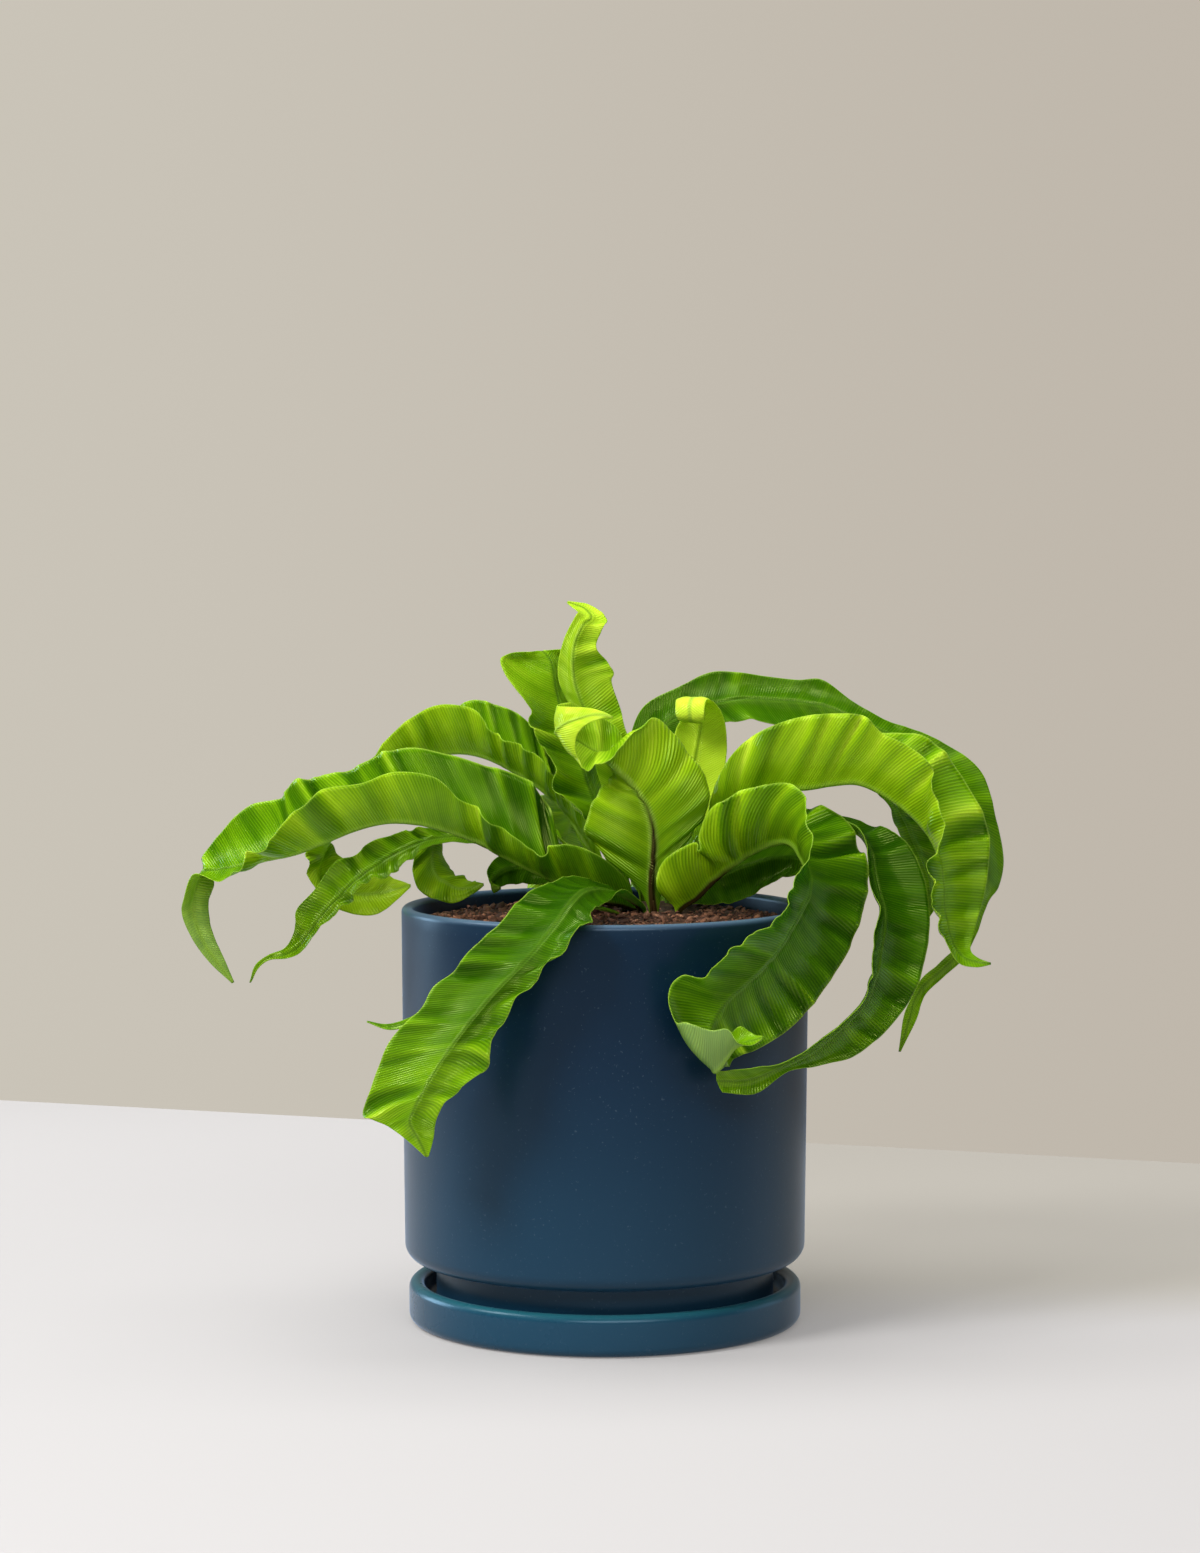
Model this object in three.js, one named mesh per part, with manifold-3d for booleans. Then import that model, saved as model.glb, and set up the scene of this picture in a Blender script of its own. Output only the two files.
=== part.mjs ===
// A hurricane bird's nest fern in a navy ceramic pot that stands in its saucer.
// Millimetres, +Z up. The origin is the centre of the saucer's underside, +X is to the right and
// +Y goes away from the front. Every frond is one undivided wavy blade that grows from the crown.
import * as THREE from 'three';
import { mergeVertices } from 'three/addons/utils/BufferGeometryUtils.js';
import Module from 'manifold-3d';

// Driving dimensions
const POT_RADIUS = 89;
const POT_TOP = 182.2;
const POT_WALL = 5;
const POT_TAPER = 1.3;
const POT_BODY_BOTTOM = 27.5;
const POT_FLOOR = 4.5;
const FOOT_RADIUS = 74;
const FOOT_WIDTH = 7;
const UNDERSIDE_RECESS = 2;
const BODY_CORNER = 7;
const INNER_CORNER = 8;
const DRAIN_RADIUS = 10;
const SAUCER_RADIUS = 86;
const SAUCER_HEIGHT = 18;
const SAUCER_FLOOR = 8;
const SAUCER_RIM = 7;
const SAUCER_CORNER = 4;
const SOIL_EDGE = 174.8;
const SOIL_MOUND = 5.7;
const SOIL_LUMP = 0.8;
const SOIL_SIDES = 36;
const SOIL_RINGS = 5;
const CROWN = { x: 22, y: 8, radius: 19, top: 183.5, depth: 32, sides: 21, ridges: 7, ridge: 0.03 };
const SOCKET_SECTIONS = 4;
const BLADE_THICKNESS = 0.8;
const RIB_DEPTH = 0.6;
const BLADE_BOW = 0.1;
const SECTION_STEP = 11;
const ROW_SHARE = 4;
const FEWEST_STEPS = 8;
const ROOT_DEPTH = 9;
const ROOT_WIDTH = 0.7;
const ROOT_LEAN = 0.12;
const CLEARANCE = 0.3;
const NUDGE = 0.02;
const TURN_SIDES = 48;

// A frond's points are written as they line up from the front: across, up and depth. The eye that
// they line up from is this far in front of the origin and this high.
const EYE_DISTANCE = 1605;
const EYE_HEIGHT = 338.6;

const YOUNG_LEAF = 0x9dc62b;
const LEAF = 0x4f9a1f;
const DARK_LEAF = 0x33751c;

// Each row is one cross-section of a blade: a point on its midrib, on its left edge and on its
// right edge, seen from above with the tip pointing away.
const FRONDS = {
  frond_left_long: [
    [[17, 180, -3], [18, 180.5, -5.2], [15.8, 181, -0.8]],
    [[11.5, 181, -7.5], [12.5, 184, -12], [11, 185, -2]],
    [[6, 182.5, -11], [10, 192.5, -17.5], [5, 189.5, -2]],
    [[-6, 185, -17], [-3, 204, -26], [-8, 196, -1]],
    [[-19, 191.5, -22], [-18, 209, -32], [-20, 206, -2]],
    [[-31, 197, -25], [-29, 205, -36], [-26, 229, -4]],
    [[-43, 203, -27], [-39, 211, -38], [-38, 239, -8]],
    [[-55, 209.5, -28], [-52, 221, -38], [-53, 243.5, -10]],
    [[-68, 214.5, -29], [-64, 229, -38], [-68, 248, -11]],
    [[-82, 218, -30], [-74, 238, -38], [-83, 251, -12]],
    [[-96, 218.5, -30], [-91, 240.5, -38], [-97, 249, -11]],
    [[-110, 215, -30], [-107, 235.5, -39], [-109, 242.5, -10]],
    [[-123, 209.5, -30], [-125, 232, -40], [-124, 238.5, -8]],
    [[-136, 204.5, -29], [-138, 220, -42], [-136, 236.5, -8]],
    [[-148, 202, -28], [-150, 207.5, -44], [-142, 229, -8]],
    [[-160, 199, -27], [-162, 197.5, -42], [-156, 225.5, -9]],
    [[-170, 197.5, -25], [-169, 192, -36], [-166, 216, -12]],
    [[-177, 196, -24], [-180, 195.6, -30], [-175, 204, -16]],
    [[-180, 187, -22], [-184.5, 185, -26], [-171, 192, -18]],
    [[-180, 177, -20], [-185, 177, -22], [-173.8, 181, -18]],
    [[-176, 166, -19], [-180, 166, -20], [-171, 168, -18]],
    [[-170, 157, -18], [-172.5, 156, -19], [-167, 159, -18]],
    [[-163, 148, -17], [-163.5, 147.8, -17], [-162.5, 148.2, -17]],
  ],
  frond_left_high: [
    [[10.5, 180, 15], [10.5, 181, 13], [9.5, 181, 17]],
    [[1, 196, 18], [0, 200, 13], [-4, 201, 24]],
    [[-9, 211, 21], [-8, 219, 14], [-14, 220, 31]],
    [[-18, 224, 24], [-20, 231, 14], [-21, 243, 36]],
    [[-29, 234, 26], [-25, 243, 14], [-30, 258, 38]],
    [[-40, 241, 28], [-36, 251.5, 17], [-38, 266, 40]],
    [[-51, 246.5, 29], [-48, 257, 19], [-48, 270, 42]],
    [[-62, 249, 30], [-56, 267, 20], [-57, 272, 44]],
    [[-73, 248, 30], [-67, 270, 21], [-67, 268, 46]],
    [[-84, 244, 29], [-78, 268, 20], [-80, 264, 44]],
    [[-95, 238, 28], [-91, 259, 19], [-92, 252, 42]],
    [[-105, 229, 26], [-102, 246, 18], [-106, 242, 38]],
    [[-114, 219, 24], [-114, 226, 14], [-116, 232, 36]],
    [[-121, 209, 22], [-124, 214, 10], [-121, 222, 33]],
    [[-125, 199, 19], [-130, 205, 6], [-121, 212, 30]],
    [[-124, 191, 17], [-129, 194, 4], [-117, 205, 27]],
    [[-118, 187, 15], [-122, 184, 4], [-110, 200, 24]],
    [[-108, 186.5, 14], [-112, 178.5, 6], [-103, 197, 21]],
    [[-99, 187, 13], [-100, 178, 8], [-96, 195, 18]],
    [[-92, 188.5, 13], [-91.5, 184, 8], [-90, 193, 15]],
    [[-85, 190.5, 13], [-85, 190, 12.5], [-85, 191, 13.5]],
  ],
  frond_left_low: [
    [[8.5, 180.5, 8.5], [9, 180.5, 7], [8, 180.5, 10]],
    [[-4, 191, 8], [-3, 190, 3], [-5, 194, 13]],
    [[-26, 202, 9], [-25, 200, 3], [-27, 206, 15]],
    [[-46, 209, 8], [-45, 206.5, 3], [-47, 213, 14]],
    [[-62, 212, 6], [-60, 209.5, 1], [-63, 215.5, 12]],
    [[-76, 211, 4], [-75, 208.5, -1], [-80, 216, 9]],
    [[-90, 205.5, 1], [-87, 201, -4], [-93, 213, 6]],
    [[-100, 199.5, -2], [-95, 194.5, -6], [-104, 209, 3]],
    [[-109, 193, -3], [-104, 193, -8], [-109, 204, 2]],
    [[-116, 186, -4], [-109, 187, -8], [-118, 201, 1]],
    [[-123, 178.5, -4], [-117, 179, -8], [-127, 189, 0]],
    [[-129, 170.5, -4], [-126, 171, -7], [-135, 180, -1]],
    [[-134, 164, -4], [-132, 162.5, -6], [-136, 171, -2]],
    [[-140, 160.5, -3], [-139, 158.7, -4], [-140, 163.5, -2]],
    [[-147, 159, -3], [-147, 158, -3.5], [-147.5, 160.2, -2.5]],
    [[-152.5, 155, -2.5], [-152, 154.3, -2.8], [-153.3, 155.6, -2.2]],
    [[-155.5, 148, -2], [-155.2, 148, -2], [-155.8, 148, -2]],
  ],
  frond_left_hook: [
    [[8, 182, 24], [8, 183, 22], [7.5, 183, 26]],
    [[-8, 198, 32], [-6, 197, 28], [-10, 202, 36]],
    [[-32, 222, 36], [-31, 222, 30], [-34, 227, 42]],
    [[-53, 229, 39], [-52, 228, 32], [-56, 234, 46]],
    [[-68, 224, 38], [-70, 220, 31], [-68, 230, 47]],
    [[-75, 213, 36], [-81, 210, 29], [-72, 218, 45]],
    [[-76, 203, 33], [-84, 200, 26], [-71, 207, 42]],
    [[-74, 195, 30], [-82, 189.5, 24], [-68, 198, 40]],
    [[-67, 190, 28], [-74, 184.5, 23], [-62, 194, 36]],
    [[-62, 189, 27], [-66, 183, 23], [-57, 192.5, 31]],
    [[-56.5, 190, 26], [-57.5, 187, 24], [-56, 192.3, 28]],
    [[-53, 191, 25.5], [-53, 190.6, 25.2], [-53, 191.4, 25.8]],
  ],
  frond_left_curl: [
    [[13, 184, 29], [13.3, 184, 27.5], [12.7, 184, 30.5]],
    [[1, 188, 34], [2, 186.5, 32], [0, 191, 36.5]],
    [[-14, 195.5, 34], [-13, 190, 31], [-15, 201, 37]],
    [[-27, 198.5, 34], [-26, 191, 31], [-29, 205, 37]],
    [[-38, 199, 33], [-36, 191.5, 30], [-40, 206, 36]],
    [[-45, 197, 27], [-43, 191, 24.5], [-48, 202.5, 30]],
    [[-49, 193.5, 22.5], [-48, 189, 21.5], [-51.5, 197, 24.5]],
    [[-49, 190, 19.5], [-48.5, 187.3, 19], [-50, 192.5, 20.5]],
    [[-45.5, 189.5, 18.5], [-45.5, 189, 18.3], [-45.5, 190, 18.7]],
  ],
  frond_tall: [
    [[17.5, 181, 15], [16, 181, 15.5], [19, 181, 14.5]],
    [[14, 199, 8], [11.2, 200, 8.5], [18.5, 199, 7]],
    [[9.5, 218, 4], [6.2, 219, 5.5], [17, 218, 4]],
    [[5, 236, 4], [0.5, 237, 6], [14.5, 236, 5]],
    [[0.5, 250, 4], [-4, 251, 6], [12.5, 250, 6]],
    [[-4, 260, 4], [-9.5, 262, 5.5], [9, 259, 6.5]],
    [[-9.5, 269, 3.5], [-16, 271, 4.5], [7, 267, 6.5]],
    [[-13, 279, 3], [-20.2, 280, 4], [3, 279.5, 6.5]],
    [[-14, 288, 3], [-20.2, 289.5, 4], [3.6, 284.5, 6]],
    [[-13, 297, 4], [-17.5, 299.5, 5], [-3.6, 294.5, 6]],
    [[-9.5, 304.5, 6.5], [-13, 308.3, 6.5], [-1.7, 301.5, 8]],
    [[-6, 307.8, 10.5], [-11.8, 310.2, 8.5], [0.9, 307, 11]],
    [[-8, 311, 15], [-12.5, 311, 12.5], [-2.5, 310.5, 17]],
    [[-11, 312.8, 18.5], [-14, 312, 17.5], [-8, 313.8, 20.5]],
    [[-16.4, 314.6, 20.5], [-16.6, 314.2, 20.5], [-16.2, 315, 20.5]],
  ],
  frond_upper_left: [
    [[12.5, 181, 5], [11.5, 181, 3], [13.5, 181, 7]],
    [[5, 201, 5], [-1, 204, 1], [8, 203, 10]],
    [[-1, 219, 5.5], [-9, 221, 0], [3.5, 221, 12]],
    [[-6.5, 233, 6], [-20.5, 231, -1], [0, 236, 14]],
    [[-10.5, 244.5, 7], [-20.8, 243, -2], [-3, 250, 16]],
    [[-14, 254, 8.5], [-25.5, 252.5, -3], [-6, 262, 18]],
    [[-17, 262, 10.5], [-33, 259, -3], [-8, 271, 20]],
    [[-19.5, 269, 12], [-31.7, 265.8, -3], [-9.5, 279, 21]],
    [[-21, 275, 13], [-34.7, 271.3, -4], [-10.5, 285, 21.5]],
    [[-22, 280.5, 13.5], [-39.5, 277, -3], [-12, 289, 22]],
    [[-22.7, 285.3, 14], [-44.3, 284, 0], [-14, 291.5, 22]],
    [[-23.8, 289, 14.5], [-45.6, 290.4, 4], [-16.5, 293.3, 21.5]],
    [[-25.5, 291.5, 15], [-37, 292.5, 9.5], [-19, 294, 19]],
    [[-27.5, 293.3, 15.2], [-29, 293.4, 14.6], [-26.2, 293.5, 15.8]],
  ],
  frond_front_upright: [
    [[21, 179.5, -12], [23.5, 180.5, -12], [19, 180.5, -12.5]],
    [[20.3, 190, -13], [27, 195, -12], [14, 190.5, -13]],
    [[20.8, 201, -14], [35, 209, -11], [1, 202.5, -13]],
    [[21.2, 211, -15], [42, 218.5, -11], [-8.3, 213, -13]],
    [[19.5, 221.5, -16], [45.5, 228, -12], [-7.5, 222, -14]],
    [[15.5, 229.5, -17], [44, 238, -12.5], [-3, 231.5, -14]],
    [[10.5, 236, -18], [38, 247, -13], [2.6, 238, -12]],
    [[5.5, 241, -18], [30, 257, -15], [4.5, 242.5, -8]],
    [[1.8, 244.5, -16], [22, 264, -19.5], [7, 248, -4]],
    [[-1.5, 247, -13], [13, 257.5, -25], [8, 254, -1]],
    [[-5, 249.5, -11], [4, 248.5, -27.5], [4, 261, 0]],
    [[-9, 252, -10], [-3, 242.8, -27.5], [-3, 265, -2]],
    [[-14, 254.8, -10.5], [-8.3, 241.7, -26], [-10, 268.7, -4]],
    [[-18.3, 256, -13], [-11.2, 244.5, -25], [-15.5, 271, -7.5]],
    [[-21.3, 257.8, -17], [-12.7, 250.5, -25], [-20.6, 269.5, -13]],
    [[-18.2, 260.8, -20.5], [-12.4, 256, -25.5], [-18.5, 269, -18]],
    [[-12.8, 263, -22.5], [-9.2, 260.4, -25], [-12.5, 268.8, -20.5]],
    [[-6.5, 264.9, -23], [-4, 263, -24.5], [-5.8, 268.2, -21.5]],
    [[0, 265, -23], [0.5, 264, -23.5], [0.3, 266.2, -22.5]],
    [[3.2, 264, -23], [3.1, 263.8, -23.1], [3.3, 264.2, -22.9]],
  ],
  frond_young_curl: [
    [[28, 181, 9], [26.5, 181, 9], [29.5, 181, 9]],
    [[31, 200, 15], [27, 201, 13], [35, 200, 13]],
    [[35, 220, 18], [28, 222, 15], [44, 219, 15]],
    [[38, 238, 19], [29, 240, 15.5], [51.5, 237.5, 14.5]],
    [[40.3, 250, 18.5], [29.8, 253, 15.5], [53, 249, 13.5]],
    [[41.8, 258.5, 17.5], [31, 259, 16], [52.8, 259, 12]],
    [[42.3, 265, 15.5], [33, 264, 16], [51.3, 265.5, 9.5]],
    [[41.2, 270.5, 12], [32.5, 269.5, 14.5], [48, 270.3, 7]],
    [[38.8, 272.6, 7.8], [31.3, 271.9, 10.8], [45, 272.3, 3.8]],
    [[37.3, 270.2, 3.8], [30.6, 269.6, 7.2], [43.6, 270, 0]],
    [[37.2, 265.3, 2.6], [31, 265.2, 6], [43.3, 265, -1]],
    [[37.8, 262.6, 6], [32.6, 263, 9.2], [43, 262.4, 2.4]],
    [[38.3, 264.6, 9.2], [34.2, 264.9, 11.4], [42.4, 264.3, 6.2]],
    [[38.5, 268, 8.2], [35.5, 268.1, 9.8], [41.6, 267.9, 6]],
    [[38.7, 268.6, 5.6], [37.9, 268.6, 6], [39.5, 268.6, 5.2]],
  ],
  frond_right_arch: [
    [[27, 180.5, 4], [26, 181, 6], [28.5, 181, 2]],
    [[33, 198, 2], [28, 199, 7], [37, 202, -2]],
    [[41, 213, 0], [39, 214, 8], [43.5, 218, -4]],
    [[51, 224, -3], [51, 230, 11], [48.5, 236, -7]],
    [[62, 231, -6], [62, 246, 16], [58, 251, -12]],
    [[74, 233.5, -7], [75, 254, 17], [70, 259.3, -15]],
    [[87, 233.2, -8], [88, 259, 16], [85, 264.5, -17]],
    [[99, 235, -9], [99, 261.5, 15], [99, 266, -18]],
    [[110, 235.5, -10], [110, 261, 14], [113, 265, -18]],
    [[120, 231.5, -10], [121, 257.5, 13], [120.5, 257.8, -19]],
    [[129, 225.5, -11], [133, 257.5, 11], [132, 252, -20]],
    [[136.5, 219, -12], [143, 254, 9], [142, 243.5, -21]],
    [[142.5, 211, -12], [153, 243, 7], [143.5, 231, -23]],
    [[146.5, 202, -13], [161.5, 229, 4], [148.3, 219, -26]],
    [[148, 192, -14], [167.5, 216, 1], [144.5, 208, -28]],
    [[148.5, 182, -15], [168, 203, -2], [142.8, 195, -28]],
    [[150, 173, -16], [166, 187, -6], [143.5, 184, -27]],
    [[152.5, 165, -17], [162, 172, -11], [147, 172, -25]],
    [[156.5, 159.5, -20], [160, 163, -16], [153.5, 157.8, -23]],
    [[162.5, 157.2, -21.5], [163.2, 159, -20], [162, 154.8, -23]],
    [[169, 156.3, -21], [169, 156.7, -21], [169, 155.9, -21]],
  ],
  frond_right_sweep: [
    [[32, 180, -9], [33, 181, -7], [30.5, 180.5, -11.5]],
    [[40, 186, -11], [43, 191, -3], [22.5, 190.5, -19]],
    [[46, 192, -12], [51, 198, 0], [26, 202, -21]],
    [[51, 196.5, -13], [57, 205, 7], [37, 209, -22]],
    [[55.5, 200, -14], [63, 210, 8], [41, 206.5, -24]],
    [[60, 203, -13.5], [69, 215, 8], [41, 213, -24]],
    [[65, 206, -15.5], [75, 219, 7], [46, 224, -27]],
    [[70.5, 208.5, -18], [81, 222, 5], [57, 231, -29]],
    [[76, 210, -21], [87, 224.5, 1], [70, 235, -31]],
    [[80.5, 209.5, -25], [94, 225, -4], [80, 235.3, -34]],
    [[84, 206.5, -31], [101, 223, -9], [87.3, 230.5, -41]],
    [[87, 201, -39], [107, 217, -15], [87.3, 222, -50]],
    [[89.5, 195, -48], [111, 208.5, -21], [90.6, 211, -59]],
    [[89.5, 187.5, -57], [115, 198, -28], [88, 201, -66]],
    [[86.5, 180, -64], [114.5, 186.5, -35], [82, 192.5, -74]],
    [[82, 172, -71], [111.5, 175, -43], [80, 183, -82]],
    [[76.5, 163, -77], [106.5, 162, -51], [74, 175, -89]],
    [[69.5, 154.5, -83], [99, 149.5, -60], [60.5, 166.5, -95]],
    [[61.5, 147, -88], [90, 137, -69], [49.5, 157, -99]],
    [[54, 140, -92], [79.5, 126.5, -78], [43, 150.3, -101]],
    [[48.5, 132, -95], [67.5, 119, -86], [33.5, 151, -102]],
    [[45.5, 122, -98], [57, 114.7, -91], [27.6, 143.5, -103]],
    [[46.5, 112.5, -102], [54.5, 111.5, -95.5], [30.5, 131, -106]],
    [[48.3, 108.6, -107], [53.5, 113.5, -101.5], [35.5, 130.5, -112]],
    [[52.5, 113.5, -110], [53, 121.5, -105.5], [46, 127, -114]],
    [[56.5, 119, -111.5], [58.5, 128.5, -107.5], [53.5, 127.5, -115.5]],
    [[61, 121.3, -112.5], [63, 126.5, -108.5], [58, 121.5, -117]],
    [[65.2, 122.6, -112.5], [66, 124.8, -110.6], [64, 120.3, -114.6]],
    [[69.6, 124, -112], [69.6, 124.4, -112], [69.6, 123.6, -112]],
  ],
  frond_right_drape: [
    [[32, 181, 4], [31, 182, 6], [33, 182, 2]],
    [[40, 196, 6], [41, 200, 12], [42, 199, 0]],
    [[51, 208, 8], [52, 213, 17], [53, 211, 2]],
    [[64, 216, 11], [65, 221, 21], [66, 219, 6]],
    [[78, 218.5, 13], [79, 222.5, 22], [80, 222, 9]],
    [[92, 218.5, 10], [93, 222.5, 19], [93, 221.5, 6]],
    [[104, 216.5, 4], [106, 220.5, 14], [104, 219.5, 0]],
    [[112, 212.5, -3], [116, 217.3, 8], [110.5, 216, -8]],
    [[116.5, 205, -10], [124.5, 215, 2], [114.5, 208.5, -16]],
    [[118, 196.5, -17], [131, 210.5, -4], [115, 199, -22]],
    [[119.8, 188, -24], [136.5, 202, -10], [116.5, 189, -31]],
    [[122, 179, -30], [140.5, 190.5, -16], [120.3, 181.5, -38]],
    [[121.8, 170, -37], [142, 179, -22], [118.3, 171.5, -47]],
    [[120.3, 161, -42], [141.8, 168, -27], [117.3, 162, -51]],
    [[118.5, 151, -47], [139.5, 155.5, -33], [116.8, 152, -56]],
    [[115, 141.5, -52], [135.5, 143.5, -39], [114, 141.5, -60]],
    [[109, 133, -58], [129, 133.5, -46], [107.5, 133, -65]],
    [[100, 125, -64], [120, 123.5, -53], [98, 125.5, -71]],
    [[91, 117.5, -71], [108, 115, -61], [88, 118, -77]],
    [[83, 113, -77], [93.5, 111.3, -70], [78, 112.5, -83]],
    [[74, 109, -83], [80, 108.5, -79], [70, 111, -88]],
    [[62, 104.8, -89], [66, 99, -88], [60, 109.8, -93]],
    [[49, 104.5, -95], [51.5, 99.5, -94], [49, 108.7, -97]],
  ],
  frond_right_far: [
    [[23, 181, 18], [21.5, 182, 20], [24.5, 182, 17]],
    [[19, 200, 26], [15.5, 201, 28], [22.5, 201, 24]],
    [[16, 220, 36], [11, 222, 39], [22, 218, 32]],
    [[14.5, 241, 47], [9.5, 246, 53], [22, 236, 41]],
    [[24, 259, 53], [16, 268, 58], [32, 252, 47]],
    [[38, 267.5, 54], [33, 278, 60], [44, 259, 48]],
    [[50, 271, 54], [46, 284, 60], [53, 262.3, 48]],
    [[62, 272.5, 54], [58, 284, 59], [64, 262.8, 47]],
    [[74, 272, 53], [70, 282.3, 58], [75, 261.3, 46]],
    [[86, 271, 52], [84, 280.7, 57], [87, 259, 45]],
    [[98, 268.5, 50], [95, 280.7, 55], [98, 256, 43]],
    [[110, 263.5, 47], [108, 271.4, 52], [110, 251, 41]],
    [[124, 257, 44], [123, 263, 49], [123, 244, 38]],
    [[138, 250, 41], [139, 257.5, 46], [136, 237, 35]],
    [[150, 242, 38], [154, 249.5, 43], [145, 228, 32]],
    [[159, 231, 34], [165, 239.5, 40], [151, 216, 29]],
    [[164.5, 218, 30], [170.5, 222, 36], [155, 204, 27]],
    [[167, 204, 28], [174.2, 203, 34], [157, 193, 25]],
    [[166.5, 192, 26], [172.5, 190.5, 32], [158, 183, 24]],
    [[163.5, 181, 24], [168, 184, 29], [158, 174, 22]],
    [[159.5, 171, 22], [162.5, 169, 25], [155.5, 168, 21]],
    [[154, 160, 20], [157, 158.5, 21], [152, 162, 19]],
    [[147.5, 153.5, 18], [149, 151, 19], [146, 156, 17]],
    [[140.5, 147.5, 16], [141.5, 144, 16.5], [139, 150, 15.5]],
    [[136, 141, 15], [138.8, 139, 15.5], [134.5, 141.5, 14.5]],
    [[133.5, 132, 14.5], [136.5, 131.5, 15], [131, 133, 14]],
    [[129.3, 117.5, 14], [129.7, 117.5, 14], [128.9, 117.5, 14]],
  ],
  frond_right_back: [
    [[27.7, 182, 15], [26.8, 183, 18], [29.2, 182, 12]],
    [[42, 214, 22], [39, 220, 27], [46, 209, 18]],
    [[60, 237, 26], [58, 246, 32], [64, 228, 21]],
    [[80, 246, 27], [80, 254, 33], [82, 236.5, 21]],
    [[98, 245, 26], [100, 252, 32], [98, 238.5, 20]],
    [[112, 239, 25], [116, 245, 31], [110, 236, 19]],
    [[123, 231, 24], [128, 236, 30], [118, 232, 18]],
    [[130, 221, 23], [137, 226, 29], [124.5, 225, 18]],
    [[134.5, 211, 22], [142, 215, 28], [127.5, 215, 18]],
    [[138.5, 202, 21], [146, 204, 26], [132.5, 207.5, 17]],
    [[142, 193, 20], [148, 193, 24], [137.5, 199, 17]],
    [[142, 184, 19], [146.5, 184, 21], [138.5, 188, 17]],
    [[139, 173, 18], [139.5, 173, 18], [138.5, 173, 17.5]],
  ],
  frond_right_low: [
    [[31, 181.5, 12], [30.5, 182, 15], [31.5, 181.5, 9]],
    [[40, 188, 17], [40, 196, 24], [39, 182.5, 9]],
    [[51, 195, 22], [52, 206, 30], [48, 182.5, 11]],
    [[63, 200, 26], [65, 211, 34], [57, 183.5, 14]],
    [[76, 203, 28], [78, 213, 36], [66, 187.5, 17]],
    [[88, 202, 28], [90, 211, 35], [74.5, 193, 19]],
    [[98, 197, 26], [101, 204, 32], [84, 195, 20]],
    [[104, 188, 23], [108, 192, 27], [94, 189, 19]],
    [[107, 177, 20], [107.5, 177, 21], [106.5, 177, 19]],
  ],
  frond_front_drape: [
    [[16, 180, -12.5], [18, 180, -15], [14, 180.3, -11.5]],
    [[12, 184, -22], [15.5, 183.8, -26], [8, 186.5, -20]],
    [[5.5, 187.5, -36], [9, 188.8, -41], [0, 191, -33]],
    [[0, 189, -48], [5, 187.7, -53], [-9, 194, -43]],
    [[-5, 189.5, -60], [2, 184, -64], [-16.5, 194.8, -55]],
    [[-10, 188, -72], [-2, 182.3, -77], [-23, 192.3, -66]],
    [[-15, 183, -85], [-6.3, 179, -90], [-31, 189.3, -77]],
    [[-20, 175.5, -95], [-6, 174.5, -100], [-38.5, 183.5, -86]],
    [[-26, 167.5, -101], [-12, 172.8, -105], [-45, 175.5, -92]],
    [[-33, 159.5, -104], [-15.5, 166, -108], [-53, 168, -95]],
    [[-40, 152.3, -105], [-19, 160.5, -109], [-60, 161.5, -96]],
    [[-47, 145, -105], [-26, 157, -108], [-67, 152.5, -96]],
    [[-54, 137.2, -105], [-30, 148.5, -107], [-75.5, 146, -96]],
    [[-60.5, 129, -105], [-38, 142.5, -107], [-80.5, 137, -96]],
    [[-66.5, 121, -105], [-43, 133, -107], [-88, 130, -96]],
    [[-72, 113, -105], [-49.5, 124, -107], [-95, 121.5, -96]],
    [[-77, 105, -105], [-51, 112, -107], [-99.5, 111, -96]],
    [[-81.5, 97, -105], [-62, 102.5, -106.5], [-103, 101, -97]],
    [[-85, 90, -104], [-70, 95, -105.5], [-106.5, 89, -98]],
    [[-86, 86, -104], [-74.3, 87, -104], [-97, 85.3, -100]],
    [[-82, 78.5, -103.5], [-75.5, 79, -103], [-88, 79, -102]],
    [[-78.5, 70.8, -103], [-77.6, 71.2, -102.9], [-79.4, 71.2, -102.9]],
  ],
  frond_front_tendril: [
    [[6, 178, -19], [7.2, 177.6, -19.8], [4.8, 178.4, -18.4]],
    [[-4, 181.5, -37], [-2, 180.8, -38.2], [-6, 182.2, -36]],
    [[-14, 184, -56], [-12, 183.2, -57.2], [-16, 184.8, -55]],
    [[-23, 183.5, -73], [-21, 182.8, -74.2], [-25, 184.2, -72]],
    [[-29, 180.5, -82], [-27, 179.8, -83.2], [-31, 181.2, -81]],
    [[-34, 173.5, -89], [-32, 172.8, -90.2], [-36, 174.2, -88]],
    [[-40, 164, -91], [-37.9, 162.9, -92.4], [-42.1, 165.1, -89.9]],
    [[-49, 154, -89], [-47.2, 152.2, -90.5], [-50.8, 155.8, -87.8]],
    [[-60, 145.5, -85], [-58.5, 143.4, -86.5], [-61.5, 147.6, -83.8]],
    [[-72, 138, -81], [-70.9, 136, -82.4], [-73.1, 140, -79.9]],
    [[-84, 131.5, -77], [-83.3, 129.8, -78.2], [-84.7, 133.2, -76]],
    [[-95, 128.5, -74], [-94.8, 127.2, -74.9], [-95.2, 129.8, -73.3]],
    [[-104.5, 131, -71], [-104.5, 130.8, -71.2], [-104.5, 131.2, -70.9]],
  ],
  frond_back_middle: [
    [[24, 182, 28], [22, 183, 28], [26, 183, 28]],
    [[23.5, 201, 47], [16, 207, 44], [33, 206, 48]],
    [[25, 215, 68], [11, 225, 66], [42, 223, 68]],
    [[26, 221, 87], [10, 230, 87], [47, 228, 87]],
    [[26.5, 214, 105], [9, 220, 112], [48, 219, 110]],
    [[27.5, 196, 118], [11, 198, 128], [46, 198, 126]],
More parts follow.
